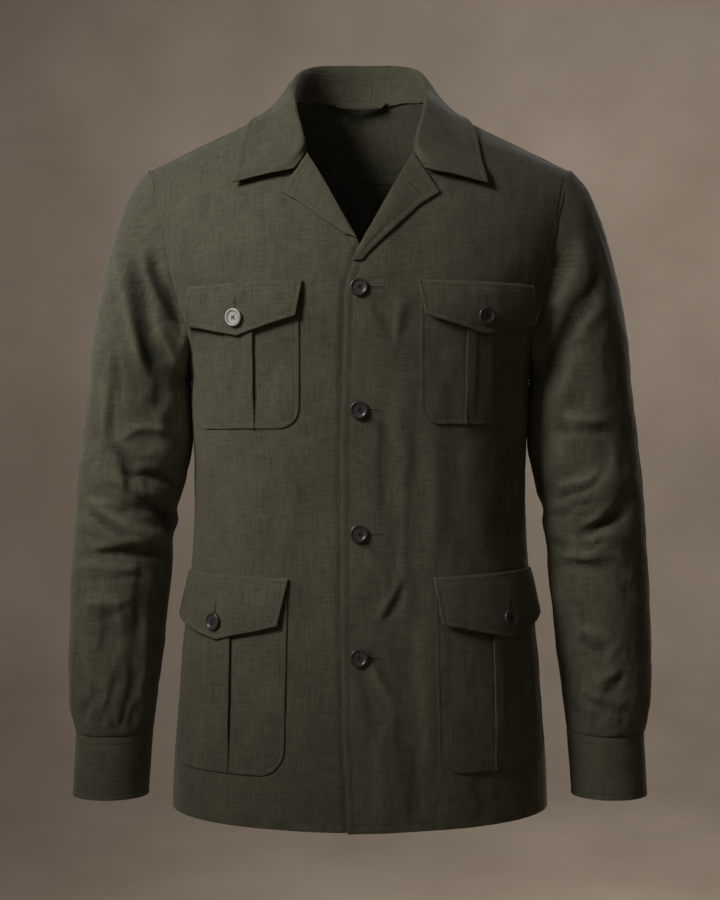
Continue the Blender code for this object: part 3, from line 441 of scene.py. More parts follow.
def crease_faces(points, front, back, faces_out=True):
    """Height of the creases in front and behind, and the way out of the cloth. A grid that was read
    facing in takes only those creases that lie where it turns to the side."""
    out = normals_of(points)
    ahead = ease(-0.25, 0.35, -out[..., 1])
    across, up = points[..., 0], points[..., 2]
    height = pressed(across, up, front) * ahead + pressed(across, up, back) * (1 - ahead)
    return height, out if faces_out else -out


def rumple(across, up, size, seed):
    """Soft uneven swell of the cloth, from -1 to 1, of about the given size in metres."""
    swell = [
        noise.noise(Vector((a, b, seed))) + 0.5 * noise.noise(Vector((2.1 * a, 2.1 * b, seed + 7)))
        for a, b in zip((across / size).ravel(), (up / size).ravel())
    ]
    return np.array(swell).reshape(across.shape)


def stitched(distance, at, raised=0.00022, sunk=0.00045, width=0.0011):
    """Height of a border that is topstitched at a distance from its edge: puffed outside the line."""
    border = np.exp(-(((distance - at * 0.5) / (at * 0.42)) ** 2))
    return raised * border - sunk * np.exp(-(((distance - at) / width) ** 2))


def seamed(distance, sunk=0.0006, width=0.0016):
    """Height of a panel beside a seam, where it is drawn down."""
    return -sunk * np.exp(-((distance / width) ** 2))


Chart = namedtuple("Chart", "tree flat quads points normals")


def chart_of(points, across, up):
    """Finds the place on a piece, and the way out from it, from its flat cut."""
    rows, columns = across.shape
    flat = [Vector((u, v, 0.0)) for u, v in zip(across.ravel(), up.ravel())]
    quads = [
        (r * columns + c, r * columns + c + 1, (r + 1) * columns + c + 1, (r + 1) * columns + c)
        for r in range(rows - 1) for c in range(columns - 1)
    ]
    tree = BVHTree.FromPolygons(flat, quads)
    return Chart(tree, flat, quads, points.reshape(-1, 3), normals_of(points).reshape(-1, 3))


def flip(faces_out, *grids):
    return grids if faces_out else tuple(grid[:, ::-1] for grid in grids)


def rim(across, up, row=slice(None), column=slice(None)):
    """One edge of a piece as places on its cut."""
    return np.stack([across[row, column], up[row, column]], axis=1)


def lay_cloth(name, points, across, up, wall, material, node=None, fold=None, closed=False, edge=0.0004):
    """Make the piece from its fine grid, with its cut as UV, its wall, its turned edge and its linen."""
    rows, columns = across.shape
    grid = bmesh.new()
    bmesh.ops.create_grid(grid, x_segments=columns - 1, y_segments=rows - 1, size=1.0)
    mesh = mesh_from(name, grid)
    spots = np.empty(len(mesh.vertices) * 3)
    mesh.vertices.foreach_get("co", spots)
    spots = spots.reshape(-1, 3)
    column = np.rint((spots[:, 0] + 1) / 2 * (columns - 1)).astype(int)
    line = np.rint((spots[:, 1] + 1) / 2 * (rows - 1)).astype(int)
    mesh.vertices.foreach_set("co", points[line, column].ravel())
    corner = np.empty(len(mesh.loops), int)
    mesh.loops.foreach_get("vertex_index", corner)
    flat = np.stack([across[line, column], up[line, column]], axis=1)
    mesh.uv_layers.new(name="cut").data.foreach_set("uv", flat[corner].ravel())
    # The fold attribute carries the painted light and shade of the piece's raised and sunken places.
    shade = mesh.attributes.new("fold", "FLOAT", "POINT")
    if fold is not None:
        shade.data.foreach_set("value", fold[line, column].astype(np.float32))
    if closed:
        closing = bmesh.new()
        closing.from_mesh(mesh)
        bmesh.ops.remove_doubles(closing, verts=closing.verts, dist=0.00002)
        closing.to_mesh(mesh)
        closing.free()
    mesh.shade_smooth()
    mesh.update()
    mesh.materials.append(material)
    piece = add(name, mesh)
    thick = piece.modifiers.new("wall", "SOLIDIFY")
    thick.thickness = wall
    thick.offset = -1.0
    thick.use_even_offset = False
    turned_edge = piece.modifiers.new("turned_edge", "BEVEL")
    turned_edge.width = edge
    turned_edge.segments = 2
    turned_edge.limit_method = "ANGLE"
    turned_edge.angle_limit = math.radians(55)
    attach(piece, "root")
    if node:
        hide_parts(node)
    return piece


def press(node, grid, height, out, faces_out=True, offset=(0.0, 0.0), wall=LINEN_WALL, **finish):
    """Lay a panel with its height pressed into it. Its chart, to sew on, comes back with it."""
    points, across, up = grid
    grid = flip(faces_out, points + out * height[..., None], across, up, height)
    name = "linen_" + node
    piece = lay_cloth(
        name, *grid[:3], wall, linen(name, offset=offset), node, grid[3] * FOLD_SHADE, **finish)
    return piece, chart_of(*grid[:3])


def girths_of(points, side):
    """Round the body to each point, level with it, from the middle of the front."""
    levels = np.arange(points[..., 2].min(), points[..., 2].max(), 0.003)
    lines = np.array([
        [[np.interp(z, line[:, 2], line[:, axis]) for axis in (0, 1)] for line in np.swapaxes(points, 0, 1)]
        for z in levels
    ])
    round_it = np.cumsum(np.linalg.norm(np.diff(lines, axis=1), axis=-1), axis=1)
    round_it = np.insert(round_it, 0, 0.0, axis=1)
    return np.stack([
        np.interp(points[:, c, 2], levels, lines[:, 0, 0] + side * round_it[:, c])
        for c in range(points.shape[1])
    ], axis=1)


RIGHT_FRONT_CREASES = [
    (-47, -224, -37, -361, 3, 6, -0.9), (-33, -195, -27, -410, 2, 6, 0.9),
    (-59, -312, -53, -449, -3, 7, -0.8), (-41, -361, -33, -488, 3, 7, -1),
    (-72, -331, -68, -449, 2, 9, 0.6), (-25, -410, -29, -527, 2, 5, -0.8),
    (-53, -478, -47, -586, 2, 7, 0.8), (-63, -498, -59, -644, -2, 6, -0.8),
    (-23, -537, -53, -586, -2, 5, -1.1), (-20, -547, -41, -590, -1, 4, 0.9),
    (-37, -586, -47, -693, 3, 7, -1), (-59, -625, -53, -709, 2, 7, 0.8),
    (-25, -605, -33, -703, 2, 6, 0.7), (-15, -312, -43, -343, -1, 4, -0.6),
    (-20, -195, -37, -239, 2, 4, -0.7), (-96, -224, -90, -292, 0, 8, 0.3),
    (-147, -331, -141, -449, 3, 16, 0.8), (-110, -328, -104, -449, 3, 14, -0.7),
    (-131, -664, -133, -705, 0, 7, 0.7), (-96, -666, -92, -709, 1, 6, -0.7),
]
LEFT_FRONT_CREASES = [
    (12, -195, 31, -236, 2, 5, -0.8), (31, -195, 41, -312, 3, 7, 0.9),
    (49, -195, 35, -292, -2, 6, -0.9), (18, -307, 23, -410, 2, 5, -0.8),
    (35, -302, 45, -527, 3, 8, 0.9), (53, -322, 51, -488, -2, 7, -0.8),
    (23, -324, 41, -361, 2, 4, -0.6), (68, -331, 74, -459, 3, 10, 0.7), (37, -464, 16, -508, 2, 4, 1.1),
    (43, -468, 23, -511, 2, 4, -1), (6, -537, 31, -576, 3, 4.5, -1.3), (10, -551, 37, -615, 4, 6, 1.2),
    (0, -556, 12, -625, 2, 5, -0.9), (31, -576, 49, -684, 3, 7, -0.8), (59, -508, 63, -654, 2, 8, 0.8),
    (16, -625, 20, -709, 2, 6, 0.7), (51, -625, 55, -709, 1, 7, -0.7), (2, -312, 31, -328, 1, 4, -0.7),
    (4, -434, 35, -455, 2, 4.5, -0.8), (6, -445, 29, -486, 2, 4.5, 0.7),
    (12, -193, 43, -212, 1, 4, -0.6), (108, -331, 113, -449, 2, 14, 0.7),
    (143, -328, 145, -449, 1, 12, -0.8), (117, -660, 119, -705, 0, 7, -0.6),
]
FRONT_CREASE = 1.7          # how much deeper than listed the creases of the fronts are
FRONT_STITCH = 0.0074       # from the front edge to its stitching
HEM_DEPTH = 0.0250
FACING_HEM = 0.0065         # the hem's stitching below the facing
FACING_WIDTH = {"front_left": 0.074, "front_right": 0.073}
ARMHOLE_LOW = -0.215
SIDE_FOOT = 0.1955          # across, where the side seam meets the hem
fronts, grounds, hems, side_seams, front_edges = {}, {}, {}, {}, {}
for node, side, creases in (
    ("front_left", 1, LEFT_FRONT_CREASES), ("front_right", -1, RIGHT_FRONT_CREASES),
):
    rows, faces_out = cloth_rows(
        node, (-0.0120 * side, -0.135, -0.7135), (SIDE_FOOT * side, 0.0, -0.709), 12)
    points = faired(rows, 0.0027, (0.006, 0.0, 0.011, 0.004), (0.0, 0.0008, 0.0, 0.0009))
    across, up = cut_lines(points, side)
    in_from_edge, in_from_side = np.abs(across - across[:, :1]), np.abs(across[:, -1:] - across)
    up_from_hem = up - up[:1]
    hems[node] = rim(across, up, row=0)
    side_seams[node] = rim(across, up, column=-1)
    front_edges[node] = rim(across, up, column=0)
    height, out = crease_faces(points, creases, [], faces_out)
    height = FRONT_CREASE * height * ease(0.0, 0.012, up_from_hem + 0.004)
    height += 0.00040 * rumple(across, up, 0.026, 3.0 + side)
    height += 0.00030 * rumple(across, up * 0.35, 0.011, 5.0 + side)
    # The ground is the front without its stitching, by true girth and height: it carries the
    # pockets, the flaps and the front buttons.
    ground = points + out * height[..., None]
    grounds[node] = chart_of(*flip(faces_out, ground, girths_of(points, side), points[..., 2]))
    hem_line = np.where(np.abs(across) > FACING_WIDTH[node], HEM_DEPTH, FACING_HEM)
    height += stitched(in_from_edge, FRONT_STITCH)
    height += stitched(up_from_hem, hem_line, 0.00015, 0.00050)
    height += seamed(in_from_side) + seamed(up[-1:] - up)
    if side > 0:
        height += 0.0010 * np.exp(-((in_from_edge / 0.0045) ** 2))
    else:
        # The under front sinks a little along the edge of the one that laps over it.
        lap_edge = front_edges["front_left"]
        lap = np.interp(up, lap_edge[:, 1], lap_edge[:, 0]) - 0.0012
        height -= 0.0016 * np.exp(-(((across - lap) / 0.0026) ** 2))
    armhole = ease(ARMHOLE_LOW - 0.02, ARMHOLE_LOW + 0.02, up)
    height += stitched(in_from_side, 0.0075, 0.0002, 0.00045) * armhole
    ledge = 3 * np.exp(-(((np.abs(across) - FACING_WIDTH[node]) / 0.0011) ** 2))
    height -= 0.0004 * (ledge * (1 - ease(HEM_DEPTH, HEM_DEPTH + 0.002, up_from_hem)))
    piece, fronts[node] = press(
        node, (points, across, up), height, out, faces_out, (0.3 + 0.3 * side, 0.0))

# ------------------------------------------------------------------ back and yoke
# Two backs joined down the centre, and a yoke that reaches over the shoulders to a seam in front of
# the ridge. All are single linen with felled seams. The back's folds are guessed: it isn't seen.
BACK_CREASES = [
    (22, -120, 30, -330, 4, 10, 0.9), (46, -150, 40, -420, -4, 11, -0.9),
    (82, -140, 66, -360, 5, 13, 0.9), (128, -170, 100, -330, -5, 10, -1.3),
    (150, -200, 120, -350, 4, 9, 1.1), (20, -380, 52, -450, 3, 9, -0.9),
    (66, -390, 60, -640, 4, 12, 0.9), (98, -410, 110, -620, -4, 12, -1.0),
    (142, -400, 136, -560, 3, 10, 0.8), (36, -560, 40, -700, 2, 9, -0.8),
]
BACK_SEAM_STITCH = 0.0080
YOKE_STITCH = 0.0066


def mirrored(creases, side, kinds):
    """The same creases on either side, bowed in a few slightly different ways."""
    return [
        (x1 * side, z1, x2 * side, z2, bow * side + number % kinds, width, depth)
        for number, (x1, z1, x2, z2, bow, width, depth) in enumerate(creases)
    ]


def lengths(points, axis):
    """The length of a grid's lines from their start to each point."""
    steps = np.linalg.norm(np.diff(points, axis=axis), axis=-1)
    return np.insert(np.cumsum(steps, axis=axis), 0, 0.0, axis=axis)


backs, centre_seams = {}, {}
for node, side in (("back_left", 1), ("back_right", -1)):
    rows, faces_out = cloth_rows(node, (0.0, 0.131, -0.709), (SIDE_FOOT * side, 0.0, -0.709), 11)
    points = faired(rows, 0.0034, (0.0, 0.0, 0.004, 0.004), (0.0, 0.0008, 0.0004, 0.0))
    across, up = cut_lines(points, side)
    in_from_centre = np.abs(across - across[:, :1])
    centre_seams[node] = rim(across, up, column=0)
    hems[node] = rim(across, up, row=0)
    height, out = crease_faces(points, [], mirrored(BACK_CREASES, side, 2), faces_out)
    height += 0.0006 * rumple(across, up, 0.030, 11.0 + side)
    height += stitched(in_from_centre, BACK_SEAM_STITCH, 0.0001, 0.0004) * 0.8 + seamed(in_from_centre)
    height += stitched(up - up[:1], HEM_DEPTH, 0.0001, 0.0004) + seamed(np.abs(across[:, -1:] - across))
    piece, backs[node] = press(
        node, (points, across, up), height, out, faces_out, (0.5 + 0.3 * side, 0.3))

rows, faces_out = cloth_rows("back_yoke", (-0.0703, -0.013, 0.0205), (0.0703, -0.013, 0.0205), 32)
points = faired(rows, 0.0034, (0.0, 0.006, 0.0, 0.0), (0.0024, 0.0008, 0.0, 0.0))
across, up = lengths(points, 1), lengths(points, 0)
across = across - across[:, -1:] / 2
height = 0.0004 * rumple(points[..., 0], points[..., 1] + points[..., 2], 0.03, 21.0)
height += stitched(up[-1:] - up, YOKE_STITCH, 0.0001, 0.0004) + seamed(up[-1:] - up)
yoke_rim = rim(across, up - YOKE_STITCH, row=-1)
piece, yoke = press("back_yoke", (points, across, up), height, normals_of(points, faces_out), faces_out)

# ------------------------------------------------------------------ sleeves and cuffs
# Sleeves set into the armholes and gathered into plain two-layer cuffs. The elbows have bent many
# times, so folds run across them from the outside down to the inside, and long ones hang from the
# armpit.
RIGHT_SLEEVE_CREASES = [
    (-240, -149, -192, -282, -6, 9, -5.2), (-247, -149, -214, -262, -4, 8, 2),
    (-214, -142, -175, -227, -3, 7, -4.4), (-206, -200, -186, -262, -2, 6, 2),
    (-228, -188, -206, -241, 0, 4, -0.9), (-251, -234, -255, -343, 3, 4.5, -2.2),
    (-262, -270, -265, -346, 2, 5, 1.2), (-241, -262, -245, -323, 1, 3.2, -0.8),
    (-243, -329, -192, -322, 5, 4.5, 1.8), (-253, -337, -233, -390, 8, 5.5, -2.8),
    (-247, -346, -194, -351, 6, 9, 1.6), (-239, -363, -186, -381, 3, 4.5, -3),
    (-235, -379, -192, -429, 4, 6, -2.6), (-253, -370, -214, -392, 2, 5, 1.7),
    (-277, -390, -235, -399, -2, 3.6, 1.6), (-277, -403, -226, -431, -2, 3.4, -2.4),
    (-275, -395, -192, -433, -3, 4.2, 1.9), (-226, -398, -188, -413, 0, 4, -1.4),
    (-275, -439, -190, -437, 3, 4.5, 1.7), (-273, -448, -194, -449, 2, 3.8, -1.7),
    (-286, -458, -222, -460, -2, 4.2, 1.4), (-284, -427, -247, -435, -1, 3.6, -1.2),
    (-282, -474, -214, -471, 2, 3.5, -0.9), (-283, -501, -228, -494, 3, 6, 1.5),
    (-277, -515, -237, -506, 2, 5, -1.2), (-257, -498, -265, -550, 3, 5, -1.4),
    (-241, -494, -247, -564, 3, 6, 1.1), (-224, -453, -228, -535, 2, 4.5, -1.2),
    (-218, -515, -228, -596, 4, 5, 1.3), (-248, -561, -262, -619, 3, 4.5, -1.7),
    (-267, -576, -286, -612, 2, 5, -1.4), (-231, -547, -239, -619, 2, 4.2, -1.3),
    (-255, -586, -259, -624, 1, 5, 1.6), (-222, -586, -224, -624, 1, 4.2, 1.4),
    (-241, -596, -243, -625, 1, 3.4, -1.1), (-273, -600, -275, -625, 0, 4, 1.2),
    (-231, -602, -232, -625, 0, 3.2, -1), (-282, -535, -273, -586, 2, 5, 0.9),
]
LEFT_SLEEVE_CREASES = [
    (226, -125, 192, -211, 4, 10, 2.4), (212, -207, 180, -270, 4, 8, -3.2),
    (243, -156, 206, -221, 3, 8, -2.2), (245, -184, 216, -235, 2, 8, 1.7),
    (200, -137, 184, -184, 2, 6, -1.8), (222, -239, 196, -292, 3, 7, 1.4),
    (200, -318, 257, -322, -4, 5, -2.2), (204, -307, 251, -309, -3, 5, 1.6),
    (257, -219, 249, -311, 3, 10, -1), (259, -331, 245, -378, 3, 7, 1.6),
    (200, -389, 240, -372, -2, 3.6, -2.8), (204, -380, 245, -362, -2, 4.4, 1.8),
    (212, -399, 235, -395, 0, 3, -1.8), (226, -415, 259, -392, -2, 5, 2.2),
    (222, -427, 271, -402, -3, 4, -3.2), (192, -409, 216, -404, 1, 4, -1.6),
    (222, -440, 247, -434, 0, 3.6, -2), (228, -433, 263, -423, -1, 4.4, 1.7),
    (204, -460, 253, -462, 2, 4, -2), (206, -450, 245, -449, 1, 4.6, 1.6),
    (196, -433, 214, -445, 0, 4.5, -1.3), (245, -449, 273, -453, 2, 5, 1),
    (255, -464, 275, -494, 3, 6, -0.9), (220, -533, 247, -551, 2, 5, -2.2),
    (226, -523, 257, -535, 2, 6, 1.6), (210, -494, 231, -521, 3, 6, -1.2),
    (245, -560, 267, -535, 2, 7, 1.2), (245, -589, 269, -568, -2, 5, -2.2),
    (239, -578, 261, -560, -2, 6, 1.6), (233, -597, 271, -611, 1, 4.4, -2.2),
    (224, -586, 245, -596, 1, 5, 1.3), (216, -596, 228, -621, 1, 4.5, -1.4),
    (251, -600, 249, -625, 0, 4, 1.2), (267, -596, 265, -625, 0, 4.4, -1.1),
    (237, -608, 237, -625, 0, 3.6, -1), (279, -586, 277, -625, 0, 5, 0.9),
]
SLEEVE_BACK_CREASES = [
    (252, -150, 206, -262, 5, 10, -2.6), (236, -170, 198, -250, 3, 8, 1.8),
    (262, -240, 258, -345, 3, 8, -1.4), (276, -352, 222, -368, -4, 6, 1.8),
    (278, -368, 210, -388, -3, 5, -2.4), (280, -388, 214, -402, 3, 5, 1.8),
    (278, -402, 206, -418, 4, 5, -2.2), (282, -424, 216, -432, 3, 6, 1.4),
    (282, -442, 212, -446, 3, 5, -1.6), (284, -470, 226, -466, 3, 7, 1.0),
    (262, -500, 268, -560, 3, 6, -1.0), (240, -480, 244, -570, 3, 8, 0.9),
    (266, -586, 268, -625, 1, 5, -1.2), (250, -580, 250, -625, 1, 5, 1.2),
    (236, -590, 236, -625, 1, 4, -1.0),
]
SLEEVE_CREASE = 1.35        # how much deeper than listed the creases of the sleeves are
INNER_SWELL = 0.0042        # how far the upper sleeve fills out towards the body
CUFF_EDGE_STITCH = 0.0052
CUFF_TOP_STITCHES = (0.0016, 0.0100)


def tube(node, step, fine, tuck=(0.0, 0.0, 0.0, 0.0), skip=0):
    """A tube's fine grid from its lower edge up, facing out, and its places round and up."""
    rows, faces_out = cloth_rows(node)
    rows = rows[skip:]
    rows = np.roll(rows, -int(np.argmin(np.abs(rows[0, :, 0]))), axis=1)
    points = faired(rows, step, fine, tuck, loop=True)
    around, up = cut_lines(points, 1.0, 0.0, -1.0)
    around = around - around[:, -1:] / 2
    return [grid[::-1] for grid in flip(not faces_out, points, around, up)]


sleeves = {}
for node, side, creases in (
    ("sleeve_left", 1, LEFT_SLEEVE_CREASES), ("sleeve_right", -1, RIGHT_SLEEVE_CREASES),
):
    points, around, up = tube(node, 0.0028, (0.004, 0.0, 0.0, 0.0), (0.0026, 0.0012, 0.0, 0.0), 1)
    height, out = crease_faces(points, creases, mirrored(SLEEVE_BACK_CREASES, side, 3))
    height *= SLEEVE_CREASE * ease(-0.002, 0.010, up[-1:] - up)
    inward, z = ease(0.25, 0.9, -side * out[..., 0]), points[..., 2]
    height += INNER_SWELL * inward * ease(-0.385, -0.325, z) * (1 - ease(-0.235, -0.195, z))
    height += 0.00055 * rumple(around, up, 0.024, 31.0 + side)
    height += 0.00050 * rumple(around * 1.6, up * 0.6, 0.010, 35.0 + side)
    height += seamed(up - up[:1], 0.0005, 0.0015)
    piece, sleeves[node] = press(
        node, (points, around, up), height, out, offset=(1.0 + 0.4 * side, 0.0), closed=True)

for node, side in (("cuff_left", 1), ("cuff_right", -1)):
    points, around, up = tube(node, 0.0026, (0.013, 0.008, 0.0, 0.0))
    from_top, from_edge = up[-1:] - up, up - up[:1]
    near, far = CUFF_TOP_STITCHES
    height = 0.00030 * rumple(around, up, 0.016, 41.0 + side)
    height += stitched(from_edge, CUFF_EDGE_STITCH) + stitched(from_top, far, 0.0001)
    height -= 0.0004 * np.exp(-(((from_top - near) / 0.0009) ** 2))
    piece, sleeves[node] = press(
        node, (points, around, up), height, normals_of(points), offset=(1.0 + 0.4 * side, 0.7),
        wall=0.0024, closed=True, edge=0.0008)

# ------------------------------------------------------------------ collar and lapels
# A collar whose stand and fall are cut together lies open over the lapels, the turned-back tops of
# the fronts. All three are two layers, turned out and topstitched 6 mm inside the edge.
COLLAR_STITCH = 0.0062
COLLAR_EDGE = 0.0006
PATH_FOOT = 0.022           # how far above the neck seam the collar's stitching starts


def mean_run(points):
    """The mean length of a grid's rows from their start to each column."""
    return np.insert(np.cumsum(np.linalg.norm(np.diff(points, axis=1), axis=-1).mean(axis=0)), 0, 0.0)


rows, faces_out = cloth_rows(
    "collar", (-0.0660, -0.0985, -0.0625), (0.0660, -0.0985, -0.0625), 32, clean=True)
points = faired(rows, 0.0022, (0.004, 0.009, 0.009, 0.009), (0.0014, 0.0, 0.0, 0.0))
out = normals_of(points, faces_out)
if out[-1, out.shape[1] // 2, 1] < 0:
    points, out, faces_out = points - out * LINEN_WALL, -out, not faces_out
rise, run = lengths(points, 0), mean_run(points)
across = np.broadcast_to(run - run[-1] / 2, rise.shape).copy()
from_edge = np.minimum(rise[-1:] - rise, np.minimum(run, run[-1] - run))
height = 0.00028 * rumple(across, rise, 0.018, 51.0)
height += stitched(from_edge, COLLAR_STITCH, 0.0003, 0.0004) * ease(0.0, 0.02, rise)
ends, row = (across[0, 0] + COLLAR_STITCH, across[0, -1] - COLLAR_STITCH), rise[-1] - COLLAR_STITCH
collar_path = [(ends[0], PATH_FOOT), (ends[0], row[3])] + [
    (across[0, c], row[c]) for c in range(4, len(run) - 4)
    if COLLAR_STITCH < run[c] < run[-1] - COLLAR_STITCH
] + [(ends[1], row[-4]), (ends[1], PATH_FOOT)]
piece, collar = press(
    "collar", (points, across, rise), height, out, faces_out, (0.0, 0.2), edge=COLLAR_EDGE)

lapels, lapel_paths = {}, {}
for node, side, ends in (
    ("lapel_left", 1, ((-0.0030, -0.110, -0.1490), (0.0520, -0.080, -0.0470))),
    ("lapel_right", -1, ((-0.0080, -0.110, -0.1275), (-0.0520, -0.080, -0.0470))),
):
    rows, faces_out = cloth_rows(node, *ends, 10)
    points = faired(rows, 0.0022, (0.0, 0.009, 0.0, 0.009), (0.0, 0.0, 0.0070, 0.0))
    rise, run = lengths(points, 0), mean_run(points)
    # The foot of the lapel is drawn to a point where it comes out of the front's edge.
    drawn_in = ease(-0.004, 0.014, run)
    points = points[:1] + (points - points[:1]) * drawn_in[None, :, None]
    rise = rise * drawn_in
    across = np.broadcast_to(run, rise.shape).copy()
    from_edge = np.minimum(rise[-1:] - rise, run[-1] - run)
    height = 0.0002 * rumple(across, rise, 0.02, 61.0 + side)
    height = height + stitched(from_edge, COLLAR_STITCH, 0.0003, 0.0004)
    row, last = rise[-1] - COLLAR_STITCH, run[-1] - COLLAR_STITCH
    lapel_paths[node] = [
        (run[c], row[c]) for c in range(len(run)) if rise[-1, c] > COLLAR_STITCH + 0.001 and run[c] < last
    ] + [(last, row[-4]), (last, 0.002)]
    piece, lapels[node] = press(
        node, (points, across, rise), height, normals_of(points, faces_out), faces_out, (0.1, 0.5),
        edge=COLLAR_EDGE)

# ------------------------------------------------------------------ pockets
# Patch pockets of one layer with round lower corners, topstitched on. Each has a box pleat down it,
# whose inner fold stands off the cloth and throws a dark line, while the outer one is pressed flat.
Pocket = namedtuple("Pocket", "name side centre width top bottom corner lean pleat_centre pleat")
POCKETS = [
    Pocket("pocket_chest_right", -1, 0.1258, 0.1325, -0.192, -0.3200, 0.021, 0.000, 0.1218, 0.031),
    Pocket("pocket_chest_left", 1, 0.1262, 0.1345, -0.192, -0.3160, 0.021, 0.000, 0.1214, 0.031),
    Pocket("pocket_lower_right", -1, 0.1480, 0.1540, -0.484, -0.6590, 0.027, 0.003, 0.1480, 0.034),
    Pocket("pocket_lower_left", 1, 0.1500, 0.1530, -0.484, -0.6570, 0.027, 0.003, 0.1520, 0.034),
]
POCKET_CREASES = [
    (62, -560, 96, -640, 3, 8, 0.6), (92, -520, 84, -600, 3, 9, -0.6), (66, -230, 92, -300, 2, 7, -0.5),
    (160, -560, 168, -640, 2, 8, 0.6),
]
POCKET_SEAT = 0.0014
POCKET_STITCH = 0.0046
POCKET_WALL = 0.0009
PLEAT_LIFT = 0.0026         # of the outer fold
INNER_PLEAT_LIFT = 0.0036
STITCH_PITCH = 0.0031
STITCH_LENGTH = 0.0023
FORWARD = np.array([0.0, -1.0, 0.0])


def beyond(chart, quad, past):
    """How far a place past the edge of the cut lies from the edge, carried on straight."""
    start = chart.flat[quad[0]]
    first, second = chart.flat[quad[1]] - start, chart.flat[quad[3]] - start
    turn = first.x * second.y - first.y * second.x
    one = (past.x * second.y - past.y * second.x) / turn
    two = (first.x * past.y - first.y * past.x) / turn
    here = Vector(chart.points[quad[0]])
    return (Vector(chart.points[quad[1]]) - here) * one + (Vector(chart.points[quad[3]]) - here) * two


def on_cloth(chart, across, up, lift=0.0):
    """The place on a piece at a place on its cut, and the way out from it."""
    spot, _, index, _ = chart.tree.find_nearest(Vector((across, up, 0.0)))
    quad = chart.quads[index]
    shares = poly_3d_calc([chart.flat[i] for i in quad], spot)
    point = sum((Vector(chart.points[i]) * s for i, s in zip(quad, shares)), Vector())
    past = Vector((across, up, 0.0)) - spot
    if past.length > 0.00002:
        point += beyond(chart, quad, past)
    out = sum((Vector(chart.normals[i]) * s for i, s in zip(quad, shares)), Vector()).normalized()
    return point + out * lift, out


# The thread of all the topstitching is a matt olive twist, a touch lighter than the linen. One
# stitch is a spindle of thread, flattened where it beds into the cloth.
THREAD_LOOK, THREAD_GRAIN = {"Roughness": 0.7, "Specular IOR Level": 0.3}, {"Scale": 900.0}
thread = mottled(
    "olive_thread", THREAD_LOOK, THREAD_GRAIN,
    ((0.3, (0.120, 0.116, 0.076)), (0.7, (0.230, 0.222, 0.150))))[0]
spindle = bmesh.new()
bmesh.ops.create_uvsphere(
    spindle, u_segments=5, v_segments=4, radius=1.0, matrix=Matrix.Rotation(math.radians(90), 4, "Y"))
one_stitch = mesh_from("one_stitch", spindle)


def bed_stitch(stands, chart, start, end, thick, lift):
    first, out = on_cloth(chart, start[0], start[1], lift)
    second, _ = on_cloth(chart, end[0], end[1], lift)
    way = second - first
    if way.length > 1e-6:
        side = out.cross(way).normalized()
        stand = Matrix((way / 2, side * thick, way.normalized().cross(side) * thick)).transposed().to_4x4()
        stand.translation = (first + second) / 2
        stands.append(stand)


def finish_thread(name, stands, material):
    """Repeat the stitch at every place, as one piece."""
    corners = np.empty((len(one_stitch.vertices), 4))
    corners[:, :3] = [tuple(v.co) for v in one_stitch.vertices]
    corners[:, 3] = 1.0
    turns = np.array([list(map(list, stand)) for stand in stands])
    places = np.einsum("nij,kj->nki", turns, corners)[..., :3]
    faces = [
        [index + number * len(corners) for index in face.vertices]
        for number in range(len(stands)) for face in one_stitch.polygons
    ]
    mesh = bpy.data.meshes.new(name)
    mesh.from_pydata(places.reshape(-1, 3).tolist(), [], faces)
    if np.linalg.det(turns[0, :3, :3]) < 0:
        mesh.flip_normals()
    mesh.shade_smooth()
    mesh.materials.append(material)
    piece = add(name, mesh)
    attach(piece, "root")


def sew(name, runs):
    """Topstitching along flat paths, each on the chart of the piece that it is sewn through."""
    stands = []
    for chart, path in runs:
        path = np.asarray(path, float)
        legs = np.diff(path, axis=0)
        steps = np.linalg.norm(legs, axis=1)
        at = np.insert(np.cumsum(steps), 0, 0.0)
        spots = np.arange(STITCH_PITCH * 0.5, at[-1], STITCH_PITCH)
        spots = spots[spots < at[-1] - STITCH_PITCH * 0.25]
        places = np.stack([np.interp(spots, at, path[:, axis]) for axis in (0, 1)], axis=1)
        leg = np.clip(np.searchsorted(at, spots) - 1, 0, len(steps) - 1)
        for spot, way in zip(places, legs[leg] / steps[leg][:, None]):
            half = way * STITCH_LENGTH / 2
            bed_stitch(stands, chart, spot - half, spot + half, 0.00034, 0.00012)
    finish_thread(name, stands, thread)


def pocket_profile(width, inner, outer, step=0.0022):
    """A cross-section of the pocket from its inner edge: place across, and share of the pleat. inner
    and outer are where the pleat's two folds lie."""
    folded = [
        (inner + 0.0022, 0.0), (inner + 0.0030, 0.22), (inner + 0.0020, 0.42), (inner - 0.0002, 0.60),
        (inner - 0.0010, 0.78), (inner - 0.0007, 0.96), (inner + 0.0006, 1.0),
    ]
    top = [(place, 1.0) for place in np.linspace(inner + 0.0025, outer - 0.0022, 12)]
    pressed_flat = [(outer - 0.0006, 0.94), (outer + 0.0002, 0.55), (outer + 0.0008, 0.14)]
    first = [(place, 0.0) for place in spread(inner, step, 0.007, 0.0)]
    last = [(place, 0.0) for place in outer + 0.0018 + spread(width - outer - 0.0018, step, 0.0, 0.007)]
    return np.array(first + folded + top + pressed_flat + last)


